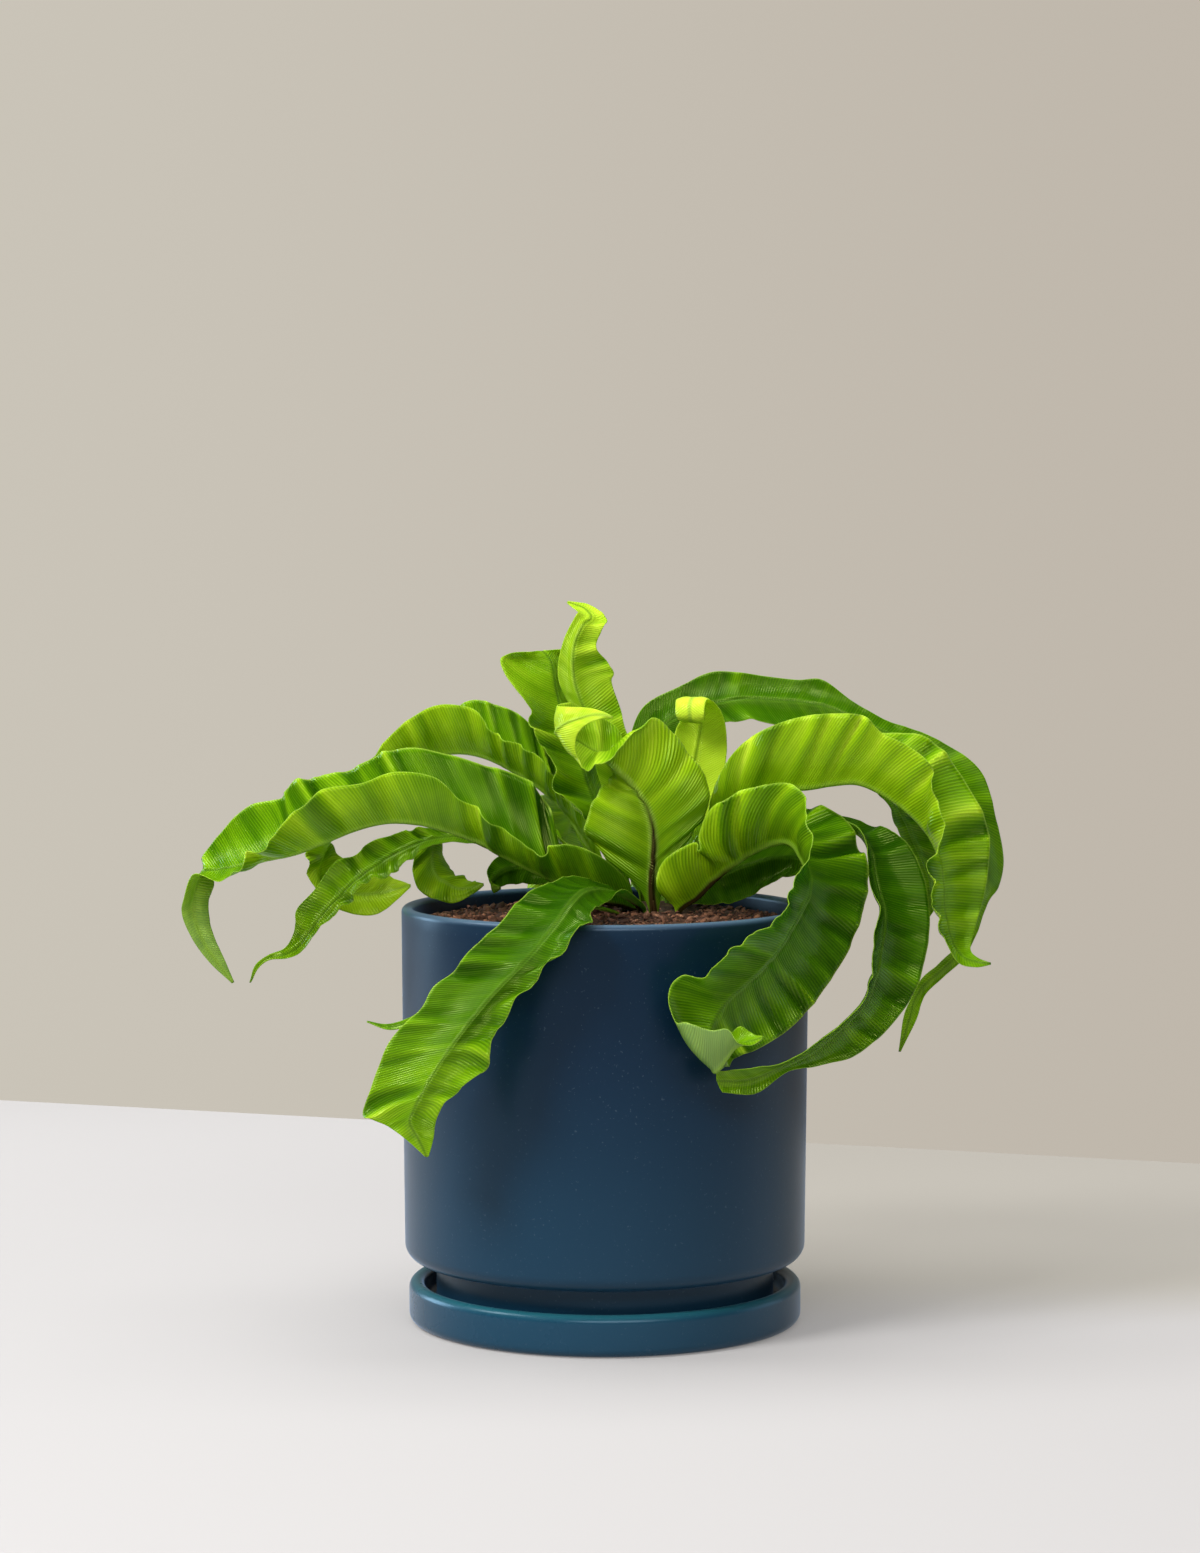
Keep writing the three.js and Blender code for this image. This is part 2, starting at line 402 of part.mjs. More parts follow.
    [[28, 172, 123], [14, 170, 131], [42, 171, 130]],
    [[28, 150, 122], [27.5, 150, 122], [28.5, 150, 122]],
  ],
  frond_back_left: [
    [[18, 184, 28], [16.5, 184.5, 28], [19.5, 184.5, 29]],
    [[6, 206, 46], [-2, 211, 42], [7.5, 211, 49]],
    [[-4, 222, 66], [-18, 230, 61], [0, 228, 72]],
    [[-12, 224, 86], [-29, 229, 81], [-4, 229, 92]],
    [[-17, 213, 104], [-34, 215, 103], [-8, 216, 111]],
    [[-20, 194, 116], [-34, 192, 119], [-10, 196, 123]],
    [[-20.5, 172, 121], [-30, 169, 124], [-13, 171, 126]],
    [[-20, 150, 120], [-20.4, 150, 120], [-19.6, 150, 120]],
  ],
  frond_back_right: [
    [[30, 184, 22], [29, 185, 24], [31.5, 185, 21]],
    [[47, 208, 42], [41, 213, 49], [52, 212, 36]],
    [[66, 218, 60], [58, 223, 71], [73, 222, 52]],
    [[84, 216, 75], [77, 220, 87], [91, 219, 66]],
    [[97, 203, 86], [91, 203, 100], [104, 205, 77]],
    [[102, 186, 92], [97, 184, 104], [109, 186, 82]],
    [[102, 168, 93], [101.6, 168, 93.4], [102.4, 168, 92.6]],
  ],
};

const FROND_COLOURS = {
  frond_tall: YOUNG_LEAF,
  frond_young_curl: YOUNG_LEAF,
  frond_front_upright: YOUNG_LEAF,
  frond_left_hook: DARK_LEAF,
  frond_right_low: DARK_LEAF,
  frond_right_drape: DARK_LEAF,
  frond_right_sweep: DARK_LEAF,
};

const wasm = await Module();
wasm.setup();

// A solid made from a closed geometry, for joining and cutting.
function toSolid(geometry) {
  const bare = geometry.clone();
  bare.deleteAttribute('normal');
  bare.deleteAttribute('uv');
  const merged = mergeVertices(bare, 1e-4);
  return new wasm.Manifold(new wasm.Mesh({
    numProp: 3,
    vertProperties: new Float32Array(merged.attributes.position.array),
    triVerts: new Uint32Array(merged.index.array),
  }));
}

// The geometry of a solid, of its largest body alone where cutting left a loose scrap.
function toGeometry(solid) {
  const bodies = solid.decompose();
  bodies.sort((a, b) => b.volume() - a.volume());
  const mesh = bodies[0].getMesh();
  const geometry = new THREE.BufferGeometry();
  geometry.setAttribute('position', new THREE.BufferAttribute(new Float32Array(mesh.vertProperties), 3));
  geometry.setIndex(new THREE.BufferAttribute(new Uint32Array(mesh.triVerts), 1));
  return geometry;
}

function material(color, roughness) {
  return new THREE.MeshStandardMaterial({ color, roughness, metalness: 0 });
}

// A turned shape about Z from an outline of [radius, height] points that runs outwards along the
// bottom and back inwards along the top.
function turned(outline, sides = TURN_SIDES) {
  const profile = outline.map(([radius, height]) => new THREE.Vector2(radius, height));
  const geometry = new THREE.LatheGeometry(profile, sides);
  geometry.rotateX(Math.PI / 2);
  return geometry;
}

// Points of a rounded corner from angle a to angle b in degrees.
function corner(radius, height, size, a, b, steps = 4) {
  const points = [];
  for (let i = 0; i <= steps; i += 1) {
    const angle = THREE.MathUtils.degToRad(a + ((b - a) * i) / steps);
    points.push([radius + size * Math.cos(angle), height + size * Math.sin(angle)]);
  }
  return points;
}

function potGeometry() {
  const inner = POT_RADIUS - POT_WALL;
  const lip = POT_WALL / 2;
  const footBottom = SAUCER_FLOOR + CLEARANCE;
  const floorTop = POT_BODY_BOTTOM + POT_FLOOR;
  const bodyBottom = POT_RADIUS - POT_TAPER;
  const underside = POT_BODY_BOTTOM - UNDERSIDE_RECESS;
  const outline = [
    [DRAIN_RADIUS, underside],
    [FOOT_RADIUS - FOOT_WIDTH, underside],
    [FOOT_RADIUS - FOOT_WIDTH, footBottom],
    [FOOT_RADIUS, footBottom],
    [FOOT_RADIUS, POT_BODY_BOTTOM],
    ...corner(bodyBottom - BODY_CORNER, POT_BODY_BOTTOM + BODY_CORNER, BODY_CORNER, -90, 0),
    ...corner(POT_RADIUS - lip, POT_TOP - lip, lip, 0, 180, 6),
    [inner, floorTop + INNER_CORNER],
    [inner - INNER_CORNER, floorTop],
    [DRAIN_RADIUS, floorTop],
    [DRAIN_RADIUS, underside],
  ];
  return turned(outline);
}

function saucerGeometry() {
  const rim = SAUCER_RIM / 2;
  const side = SAUCER_RADIUS - SAUCER_CORNER;
  const well = SAUCER_RADIUS - SAUCER_RIM - SAUCER_CORNER;
  const outline = [
    [0, 0],
    [side, 0],
    ...corner(side, SAUCER_CORNER, SAUCER_CORNER, -60, 0, 2),
    ...corner(SAUCER_RADIUS - rim, SAUCER_HEIGHT - rim, rim, 0, 180, 6),
    ...corner(well, SAUCER_FLOOR + SAUCER_CORNER, SAUCER_CORNER, 0, -90, 2),
    [0, SAUCER_FLOOR],
  ];
  return turned(outline);
}

// Low lumps of loose soil, from -1 to 1, at a place on the plan.
function lumps(x, y) {
  return Math.sin(0.31 * x + 1.3 * Math.sin(0.17 * y)) * Math.cos(0.27 * y - 0.11 * x);
}

// The soil's top: a low mound with lumps that fade out at the pot wall.
function soilHeight(x, y, radius) {
  const share = Math.min(1, Math.hypot(x, y) / radius);
  return SOIL_EDGE + SOIL_MOUND * (1 - share ** 2) + SOIL_LUMP * lumps(x, y) * (1 - share ** 6);
}

function soilSolid(cuts) {
  const radius = POT_RADIUS - POT_WALL - CLEARANCE;
  const floor = POT_BODY_BOTTOM + POT_FLOOR + CLEARANCE;
  const outline = [
    [0, floor],
    [radius - INNER_CORNER, floor],
    [radius, floor + INNER_CORNER],
    [radius, SOIL_EDGE],
  ];
  for (let i = SOIL_RINGS - 1; i >= 0; i -= 1) {
    outline.push([(radius * i) / SOIL_RINGS, POT_TOP]);
  }
  const geometry = turned(outline, SOIL_SIDES);
  const position = geometry.attributes.position;
  for (let i = 0; i < position.count; i += 1) {
    if (position.getZ(i) > SOIL_EDGE + 1) {
      position.setZ(i, soilHeight(position.getX(i), position.getY(i), radius));
    }
  }
  return cuts.reduce((solid, cut) => solid.subtract(cut), toSolid(geometry));
}

// The crown, or its hole in the soil where grow is more than 0.
function crownSolid(grow = 0) {
  const radius = CROWN.radius + grow;
  const top = CROWN.top + grow;
  const bottom = CROWN.top - CROWN.depth - grow;
  const profile = [[0, 0], [0.6, 0.06], [0.9, 0.3], [1, 0.72], [0.96, 0.88], [0.8, 0.97], [0.4, 1], [0, 1]];
  const outline = profile.map(([out, up]) => [out * radius, bottom + up * (top - bottom)]);
  const geometry = turned(outline, CROWN.sides);
  const position = geometry.attributes.position;
  for (let i = 0; i < position.count; i += 1) {
    const angle = Math.atan2(position.getY(i), position.getX(i));
    const ridge = 1 + CROWN.ridge * Math.cos(CROWN.ridges * angle);
    position.setX(i, position.getX(i) * ridge + CROWN.x);
    position.setY(i, position.getY(i) * ridge + CROWN.y);
  }
  return toSolid(geometry);
}

// A point written as across, up and depth, at its place in the model.
function place([across, up, depth]) {
  const share = depth / EYE_DISTANCE;
  return new THREE.Vector3(across * (1 + share), depth, up - (EYE_HEIGHT - up) * share);
}

// The three rails of a blade: midrib, left edge and right edge, each a list of points that starts
// at the root, sunk in the crown.
function rails(rows) {
  const placed = rows.map((row) => row.map(place));
  const base = placed[0][0];
  const root = base.clone();
  root.x += ROOT_LEAN * (CROWN.x - base.x);
  root.y += ROOT_LEAN * (CROWN.y - base.y);
  root.z -= ROOT_DEPTH;
  const start = placed[0].map((point) => point.clone().sub(base).multiplyScalar(ROOT_WIDTH).add(root));
  const sections = [start, ...placed];
  return [0, 1, 2].map((rail) => sections.map((section) => section[rail]));
}

// A point of a rail at t sections from its root, on a smooth curve through all of its points.
function along(rail, t) {
  const last = rail.length - 1;
  const i = Math.min(Math.floor(Math.max(t, 0)), last - 1);
  const f = Math.min(Math.max(t, 0), last) - i;
  const before = i > 0 ? rail[i - 1] : rail[0].clone().multiplyScalar(2).sub(rail[1]);
  const after = i + 2 <= last ? rail[i + 2] : rail[last].clone().multiplyScalar(2).sub(rail[last - 1]);
  const blend = (a, b, c, d) => 0.5 * (2 * b + (c - a) * f + (2 * a - 5 * b + 4 * c - d) * f * f
    + (3 * b - a - 3 * c + d) * f * f * f);
  const [b, c] = [rail[i], rail[i + 1]];
  return new THREE.Vector3(
    blend(before.x, b.x, c.x, after.x),
    blend(before.y, b.y, c.y, after.y),
    blend(before.z, b.z, c.z, after.z),
  );
}

// Places along the rails, evenly spaced by the mean length of the three with ROW_SHARE added for
// each section, so that a tight curl, which has more sections, gets more of them.
function stations(threeRails) {
  const fine = 60;
  const count = fine * (threeRails[0].length - 1);
  const lengths = [0];
  let previous = threeRails.map((rail) => along(rail, 0));
  for (let i = 1; i <= count; i += 1) {
    const now = threeRails.map((rail) => along(rail, i / fine));
    const step = now.reduce((sum, point, k) => sum + point.distanceTo(previous[k]), 0) / 3;
    lengths.push(lengths[i - 1] + step + ROW_SHARE / fine);
    previous = now;
  }
  const total = lengths[count];
  const steps = Math.max(FEWEST_STEPS, Math.round(total / SECTION_STEP));
  const places = [];
  let i = 0;
  for (let k = 0; k <= steps; k += 1) {
    const target = (total * k) / steps;
    while (i < count - 1 && lengths[i + 1] < target) {
      i += 1;
    }
    const share = (target - lengths[i]) / (lengths[i + 1] - lengths[i]);
    places.push((i + Math.min(share, 1)) / fine);
  }
  return places;
}

// The blade's middle surface: for each station, points from the left edge over the midrib to the
// right edge. Each half bows away from the upper side, and grow widens it past its edges.
function bladeGrid(rows, grow = 0) {
  const threeRails = rails(rows);
  return stations(threeRails).map((t) => {
    const [middle, left, right] = threeRails.map((rail) => along(rail, t));
    const forward = along(threeRails[0], t + NUDGE).sub(along(threeRails[0], t - NUDGE)).normalize();
    return [-1, -0.5, 0, 0.5, 1].map((v) => {
      const half = (v < 0 ? left : right).clone().sub(middle);
      const width = half.length() + grow;
      half.setLength(width);
      const up = forward.clone().cross(half).normalize().multiplyScalar(v < 0 ? 1 : -1);
      const share = Math.abs(v);
      const bow = BLADE_BOW * width * Math.sin(Math.PI * share);
      return middle.clone().addScaledVector(half, share).addScaledVector(up, -bow);
    });
  });
}

// A closed blade round a grid of middle points, with a thicker midrib underneath. Both faces are
// split into triangles alike.
function bladeGeometry(grid, thickness) {
  const rowsCount = grid.length;
  const columns = grid[0].length;
  const top = [];
  const bottom = [];
  for (let i = 0; i < rowsCount; i += 1) {
    for (let j = 0; j < columns; j += 1) {
      const lengthwise = grid[Math.min(i + 1, rowsCount - 1)][j].clone().sub(grid[Math.max(i - 1, 0)][j]);
      const crosswise = grid[i][Math.min(j + 1, columns - 1)].clone().sub(grid[i][Math.max(j - 1, 0)]);
      const up = crosswise.cross(lengthwise).normalize();
      const rib = j === (columns - 1) / 2 ? RIB_DEPTH : 0;
      top.push(...grid[i][j].clone().addScaledVector(up, thickness / 2).toArray());
      bottom.push(...grid[i][j].clone().addScaledVector(up, -thickness / 2 - rib).toArray());
    }
  }
  const under = rowsCount * columns;
  const index = [];
  const at = (i, j) => i * columns + j;
  for (let i = 0; i < rowsCount - 1; i += 1) {
    for (let j = 0; j < columns - 1; j += 1) {
      const [a, b, c, d] = [at(i, j), at(i, j + 1), at(i + 1, j + 1), at(i + 1, j)];
      index.push(a, b, c, a, c, d);
      index.push(under + a, under + c, under + b, under + a, under + d, under + c);
    }
  }
  const edge = [];
  for (let j = 0; j < columns - 1; j += 1) {
    edge.push(at(0, j));
  }
  for (let i = 0; i < rowsCount - 1; i += 1) {
    edge.push(at(i, columns - 1));
  }
  for (let j = columns - 1; j > 0; j -= 1) {
    edge.push(at(rowsCount - 1, j));
  }
  for (let i = rowsCount - 1; i > 0; i -= 1) {
    edge.push(at(i, 0));
  }
  edge.forEach((a, k) => {
    const b = edge[(k + 1) % edge.length];
    index.push(a, under + a, under + b, a, under + b, b);
  });
  const geometry = new THREE.BufferGeometry();
  geometry.setAttribute('position', new THREE.Float32BufferAttribute([...top, ...bottom], 3));
  geometry.setIndex(index);
  return geometry;
}

// The slot that a frond's foot stands in: its first stretch, thicker, wider and deeper.
function socketSolid(rows) {
  const grid = bladeGrid(rows, CLEARANCE).slice(0, SOCKET_SECTIONS);
  const deeper = grid[0].map((point, j) => {
    const back = point.clone().sub(grid[1][j]).setLength(CLEARANCE);
    return point.clone().add(back);
  });
  return toSolid(bladeGeometry([deeper, ...grid.slice(1)], BLADE_THICKNESS + 2 * CLEARANCE));
}

const fern = new THREE.Group();

function addPiece(name, geometry, finish) {
  const piece = new THREE.Mesh(geometry, finish);
  piece.name = name;
  fern.add(piece);
}

const sockets = Object.values(FRONDS).map(socketSolid);
const crown = sockets.reduce((solid, socket) => solid.subtract(socket), crownSolid());

addPiece('pot', potGeometry(), material(0x1c3a58, 0.45));
addPiece('saucer', saucerGeometry(), material(0x1b3a5a, 0.3));
addPiece('soil', toGeometry(soilSolid([crownSolid(CLEARANCE), ...sockets])), material(0x5b3a28, 1));
addPiece('crown', toGeometry(crown), material(0x4a3a20, 0.9));
Object.entries(FRONDS).forEach(([name, rows]) => {
  const colour = FROND_COLOURS[name] ?? LEAF;
  addPiece(name, bladeGeometry(bladeGrid(rows), BLADE_THICKNESS), material(colour, 0.35));
});

export default fern;
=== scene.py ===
import math

import bmesh
import bpy
import numpy as np
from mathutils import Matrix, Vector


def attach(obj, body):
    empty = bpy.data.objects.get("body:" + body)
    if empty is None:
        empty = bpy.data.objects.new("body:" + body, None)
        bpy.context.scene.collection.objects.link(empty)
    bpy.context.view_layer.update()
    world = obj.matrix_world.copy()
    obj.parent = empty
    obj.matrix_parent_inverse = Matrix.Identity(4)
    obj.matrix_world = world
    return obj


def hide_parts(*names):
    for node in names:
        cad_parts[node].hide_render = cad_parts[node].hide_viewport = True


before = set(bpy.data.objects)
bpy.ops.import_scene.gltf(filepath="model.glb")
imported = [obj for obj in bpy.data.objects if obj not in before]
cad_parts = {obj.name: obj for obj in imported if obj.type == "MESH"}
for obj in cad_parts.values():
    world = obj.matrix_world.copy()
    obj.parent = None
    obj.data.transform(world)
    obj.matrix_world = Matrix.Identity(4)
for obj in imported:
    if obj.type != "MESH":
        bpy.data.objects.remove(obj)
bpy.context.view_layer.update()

# A hurricane bird's nest fern: wavy strap fronds that spring from a low crown in a navy glazed pot
# and its saucer. Every length here is in millimetres, and MM takes it to the frame's metres.
MM = 0.001

# Pot and saucer
POT_RADIUS = 89
POT_TOP = 182.2
POT_WALL = 5
POT_TAPER = 1.3
POT_BODY_BOTTOM = 27.5
POT_FLOOR = 4.5
BODY_CORNER = 7
FOOT_RADIUS = 74
FOOT_WIDTH = 7
UNDERSIDE_RECESS = 2
DRAIN_RADIUS = 10
SAUCER_RADIUS = 86
SAUCER_HEIGHT = 18
SAUCER_FLOOR = 8
SAUCER_RIM = 7
SAUCER_CORNER = 4
CLEARANCE = 0.3
TURN_SIDES = 224

# Soil and crown
SOIL_EDGE = 174.8
SOIL_MOUND = 5.7
SOIL_LUMP = 0.8
SOIL_SINK = 0.5
CHIPS = 2600
CHIP_MARGIN = 3.5
CHIP_LIFT = 0.25
CROWN_X = 22
CROWN_Y = 8
CROWN_RADIUS = 19
CROWN_TOP = 183.5
CROWN_DEPTH = 32
CROWN_RIDGES = 7
CROWN_RIDGE = 0.03
CROWN_SINK = 0.6
SCALE_HEIGHT = 0.35

# Fronds
BLADE_THICKNESS = 0.5
BLADE_BOW = 0.1
EDGE_THINNING = 0.45
TIP_TAPER = 0.72
RIDGE_HEIGHT = 0.4
RIDGE_PLACE = 1.2
RIDGE_WIDTH = 0.55
GROOVE_WIDTH = 0.5
KEEL_HEIGHT = 1.15
STATION_STEP = 1.25
ROW_SHARE = 0.6
COLUMNS = 41
COLUMN_CROWDING = 1.35
MEASURING_STEPS = 60
ROOT_DEPTH = 9
ROOT_WIDTH = 0.7
ROOT_LEAN = 0.12
FLUTE_LENGTH = 11.5
FLUTE_HEIGHT = 2.5
FLUTE_SLANT = 0.45
FLUTE_RISE = 0.62
FLUTED_WIDTH = 17
VEIN_SPACING = 1.15
VEIN_SLANT = 0.62
STAIN_REACH = 10

# The eye that the rows of points below line up from, in front of the origin, and its view: the
# pitch in degrees, and the focal length and the photograph's height in pixels
EYE_DISTANCE = 1605
EYE_HEIGHT = 338.6
EYE_ACROSS = -2.2
EYE_PITCH = 3.57
PHOTO_HEIGHT = 1553
FOCAL_PIXELS = 3683

# Each row is one cross-section of a blade: a point on its midrib, on its left edge and on its
# right edge, each written as it lines up from the front: across, up and depth.
FRONDS = {
    "frond_left_long": [
        ((17, 180, -3), (18, 180.5, -5.2), (15.8, 181, -0.8)),
        ((11.5, 181, -7.5), (12.5, 184, -12), (11, 185, -2)),
        ((6, 182.5, -11), (10, 192.5, -17.5), (5, 189.5, -2)),
        ((-6, 185, -17), (-3, 204, -26), (-8, 196, -1)),
        ((-19, 191.5, -22), (-18, 209, -32), (-20, 206, -2)),
        ((-31, 197, -25), (-29, 205, -36), (-26, 229, -4)),
        ((-43, 203, -27), (-39, 211, -38), (-38, 239, -8)),
        ((-55, 209.5, -28), (-52, 221, -38), (-53, 243.5, -10)),
        ((-68, 214.5, -29), (-64, 229, -38), (-68, 248, -11)),
        ((-82, 218, -30), (-74, 238, -38), (-83, 251, -12)),
        ((-96, 218.5, -30), (-91, 240.5, -38), (-97, 249, -11)),
        ((-110, 215, -30), (-107, 235.5, -39), (-109, 242.5, -10)),
        ((-123, 209.5, -30), (-125, 232, -40), (-124, 238.5, -8)),
        ((-136, 204.5, -29), (-138, 220, -42), (-136, 236.5, -8)),
        ((-148, 202, -28), (-150, 207.5, -44), (-142, 229, -8)),
        ((-160, 199, -27), (-162, 197.5, -42), (-156, 225.5, -9)),
        ((-170, 197.5, -25), (-169, 192, -36), (-166, 216, -12)),
        ((-177, 196, -24), (-180, 195.6, -30), (-175, 204, -16)),
        ((-180, 187, -22), (-184.5, 185, -26), (-171, 192, -18)),
        ((-180, 177, -20), (-185, 177, -22), (-173.8, 181, -18)),
        ((-176, 166, -19), (-180, 166, -20), (-171, 168, -18)),
        ((-170, 157, -18), (-172.5, 156, -19), (-167, 159, -18)),
        ((-163, 148, -17), (-163.5, 147.8, -17), (-162.5, 148.2, -17)),
    ],
    "frond_left_high": [
        ((10.5, 180, 15), (10.5, 181, 13), (9.5, 181, 17)),
        ((1, 196, 18), (0, 200, 13), (-4, 201, 24)),
        ((-9, 211, 21), (-8, 219, 14), (-14, 220, 31)),
        ((-18, 224, 24), (-20, 231, 14), (-21, 243, 36)),
        ((-29, 234, 26), (-25, 243, 14), (-30, 258, 38)),
        ((-40, 241, 28), (-36, 251.5, 17), (-38, 266, 40)),
        ((-51, 246.5, 29), (-48, 257, 19), (-48, 270, 42)),
        ((-62, 249, 30), (-56, 267, 20), (-57, 272, 44)),
        ((-73, 248, 30), (-67, 270, 21), (-67, 268, 46)),
        ((-84, 244, 29), (-78, 268, 20), (-80, 264, 44)),
        ((-95, 238, 28), (-91, 259, 19), (-92, 252, 42)),
        ((-105, 229, 26), (-102, 246, 18), (-106, 242, 38)),
        ((-114, 219, 24), (-114, 226, 14), (-116, 232, 36)),
        ((-121, 209, 22), (-124, 214, 10), (-121, 222, 33)),
        ((-125, 199, 19), (-130, 205, 6), (-121, 212, 30)),
        ((-124, 191, 17), (-129, 194, 4), (-117, 205, 27)),
        ((-118, 187, 15), (-122, 184, 4), (-110, 200, 24)),
        ((-108, 186.5, 14), (-112, 178.5, 6), (-103, 197, 21)),
        ((-99, 187, 13), (-100, 178, 8), (-96, 195, 18)),
        ((-92, 188.5, 13), (-91.5, 184, 8), (-90, 193, 15)),
        ((-85, 190.5, 13), (-85, 190, 12.5), (-85, 191, 13.5)),
    ],
    "frond_left_low": [
        ((8.5, 180.5, 8.5), (9, 180.5, 7), (8, 180.5, 10)),
        ((-4, 191, 8), (-3, 190, 3), (-5, 194, 13)),
        ((-26, 202, 9), (-25, 200, 3), (-27, 206, 15)),
        ((-46, 209, 8), (-45, 206.5, 3), (-47, 213, 14)),
        ((-62, 212, 6), (-60, 209.5, 1), (-63, 215.5, 12)),
        ((-76, 211, 4), (-75, 208.5, -1), (-80, 216, 9)),
        ((-90, 205.5, 1), (-87, 201, -4), (-93, 213, 6)),
        ((-100, 199.5, -2), (-95, 194.5, -6), (-104, 209, 3)),
        ((-109, 193, -3), (-104, 193, -8), (-109, 204, 2)),
        ((-116, 186, -4), (-109, 187, -8), (-118, 201, 1)),
        ((-123, 178.5, -4), (-117, 179, -8), (-127, 189, 0)),
        ((-129, 170.5, -4), (-126, 171, -7), (-135, 180, -1)),
        ((-134, 164, -4), (-132, 162.5, -6), (-136, 171, -2)),
        ((-140, 160.5, -3), (-139, 158.7, -4), (-140, 163.5, -2)),
        ((-147, 159, -3), (-147, 158, -3.5), (-147.5, 160.2, -2.5)),
        ((-152.5, 155, -2.5), (-152, 154.3, -2.8), (-153.3, 155.6, -2.2)),
        ((-155.5, 148, -2), (-155.2, 148, -2), (-155.8, 148, -2)),
    ],
    "frond_left_hook": [
        ((8, 182, 24), (8, 183, 22), (7.5, 183, 26)),
        ((-8, 198, 32), (-6, 197, 28), (-10, 202, 36)),
        ((-32, 222, 36), (-31, 222, 30), (-34, 227, 42)),
        ((-53, 229, 39), (-52, 228, 32), (-56, 234, 46)),
        ((-68, 224, 38), (-70, 220, 31), (-68, 230, 47)),
        ((-75, 213, 36), (-81, 210, 29), (-72, 218, 45)),
        ((-76, 203, 33), (-84, 200, 26), (-71, 207, 42)),
        ((-74, 195, 30), (-82, 189.5, 24), (-68, 198, 40)),
        ((-67, 190, 28), (-74, 184.5, 23), (-62, 194, 36)),
        ((-62, 189, 27), (-66, 183, 23), (-57, 192.5, 31)),
        ((-56.5, 190, 26), (-57.5, 187, 24), (-56, 192.3, 28)),
        ((-53, 191, 25.5), (-53, 190.6, 25.2), (-53, 191.4, 25.8)),
    ],
    "frond_left_curl": [
        ((13, 184, 29), (13.3, 184, 27.5), (12.7, 184, 30.5)),
        ((1, 188, 34), (2, 186.5, 32), (0, 191, 36.5)),
        ((-14, 195.5, 34), (-13, 190, 31), (-15, 201, 37)),
        ((-27, 198.5, 34), (-26, 191, 31), (-29, 205, 37)),
        ((-38, 199, 33), (-36, 191.5, 30), (-40, 206, 36)),
        ((-45, 197, 27), (-43, 191, 24.5), (-48, 202.5, 30)),
        ((-49, 193.5, 22.5), (-48, 189, 21.5), (-51.5, 197, 24.5)),
        ((-49, 190, 19.5), (-48.5, 187.3, 19), (-50, 192.5, 20.5)),
        ((-45.5, 189.5, 18.5), (-45.5, 189, 18.3), (-45.5, 190, 18.7)),
    ],
    "frond_tall": [
        ((17.5, 181, 15), (16, 181, 15.5), (19, 181, 14.5)),
        ((14, 199, 8), (11.2, 200, 8.5), (18.5, 199, 7)),
        ((9.5, 218, 4), (4.2, 219, 5.5), (17, 218, 4)),
        ((5, 236, 4), (-2.5, 237, 6), (14.5, 236, 5)),
        ((0.5, 250, 4), (-6, 251, 6), (12.5, 250, 6)),
        ((-4, 260, 4), (-9.5, 262, 5.5), (9, 259, 6.5)),
        ((-9.5, 269, 3.5), (-16, 271, 4.5), (7, 267, 6.5)),
        ((-13, 279, 3), (-20.2, 280, 4), (3, 279.5, 6.5)),
        ((-14, 288, 3), (-20.2, 289.5, 4), (3.6, 284.5, 6)),
        ((-13, 297, 4), (-17.5, 299.5, 5), (-3.6, 294.5, 6)),
        ((-9.5, 304.5, 6.5), (-13, 308.3, 6.5), (-1.7, 301.5, 8)),
        ((-6, 307.8, 10.5), (-11.8, 310.2, 8.5), (0.9, 307, 11)),
        ((-8, 311, 15), (-12.5, 311, 12.5), (-2.5, 310.5, 17)),
        ((-11, 312.8, 18.5), (-14, 312, 17.5), (-8, 313.8, 20.5)),
        ((-16.4, 314.6, 20.5), (-16.6, 314.2, 20.5), (-16.2, 315, 20.5)),
    ],
    "frond_upper_left": [
        ((12.5, 181, 5), (11.5, 181, 3), (13.5, 181, 7)),
        ((5, 201, 5), (-1, 204, 1), (8, 203, 10)),
        ((-1, 219, 5.5), (-9, 221, 0), (3.5, 221, 12)),
        ((-6.5, 233, 6), (-20.5, 231, -1), (0, 236, 14)),
        ((-10.5, 244.5, 7), (-22.6, 243, -2), (-3, 250, 16)),
        ((-14, 254, 8.5), (-27, 252.5, -3), (-6, 262, 18)),
        ((-17, 262, 10.5), (-33, 259, -3), (-8, 271, 20)),
        ((-19.5, 269, 12), (-31.7, 265.8, -3), (-9.5, 279, 21)),
        ((-21, 275, 13), (-34.7, 271.3, -4), (-10.5, 285, 21.5)),
        ((-22, 280.5, 13.5), (-39.5, 277, -3), (-12, 289, 22)),
        ((-22.7, 285.3, 14), (-44.3, 284, 0), (-14, 291.5, 22)),
        ((-23.8, 289, 14.5), (-45.6, 290.4, 4), (-16.5, 293.3, 21.5)),
        ((-25.5, 291.5, 15), (-37, 292.5, 9.5), (-19, 294, 19)),
        ((-27.5, 293.3, 15.2), (-29, 293.4, 14.6), (-26.2, 293.5, 15.8)),
    ],
    "frond_front_upright": [
        ((21, 179.5, -12), (23.5, 180.5, -12), (19, 180.5, -12.5)),
        ((20.3, 190, -13), (27, 195, -12), (14, 190.5, -13)),
        ((20.8, 201, -14), (35, 209, -11), (1, 202.5, -13)),
        ((21.2, 211, -15), (42, 218.5, -11), (-8.3, 213, -13)),
        ((19.5, 221.5, -16), (45.5, 228, -12), (-7.5, 222, -14)),
        ((15.5, 229.5, -17), (44, 238, -12.5), (-3, 231.5, -14)),
        ((10.5, 236, -18), (38, 247, -13), (2.6, 238, -12)),
        ((5.5, 241, -18), (30, 257, -15), (4.5, 242.5, -8)),
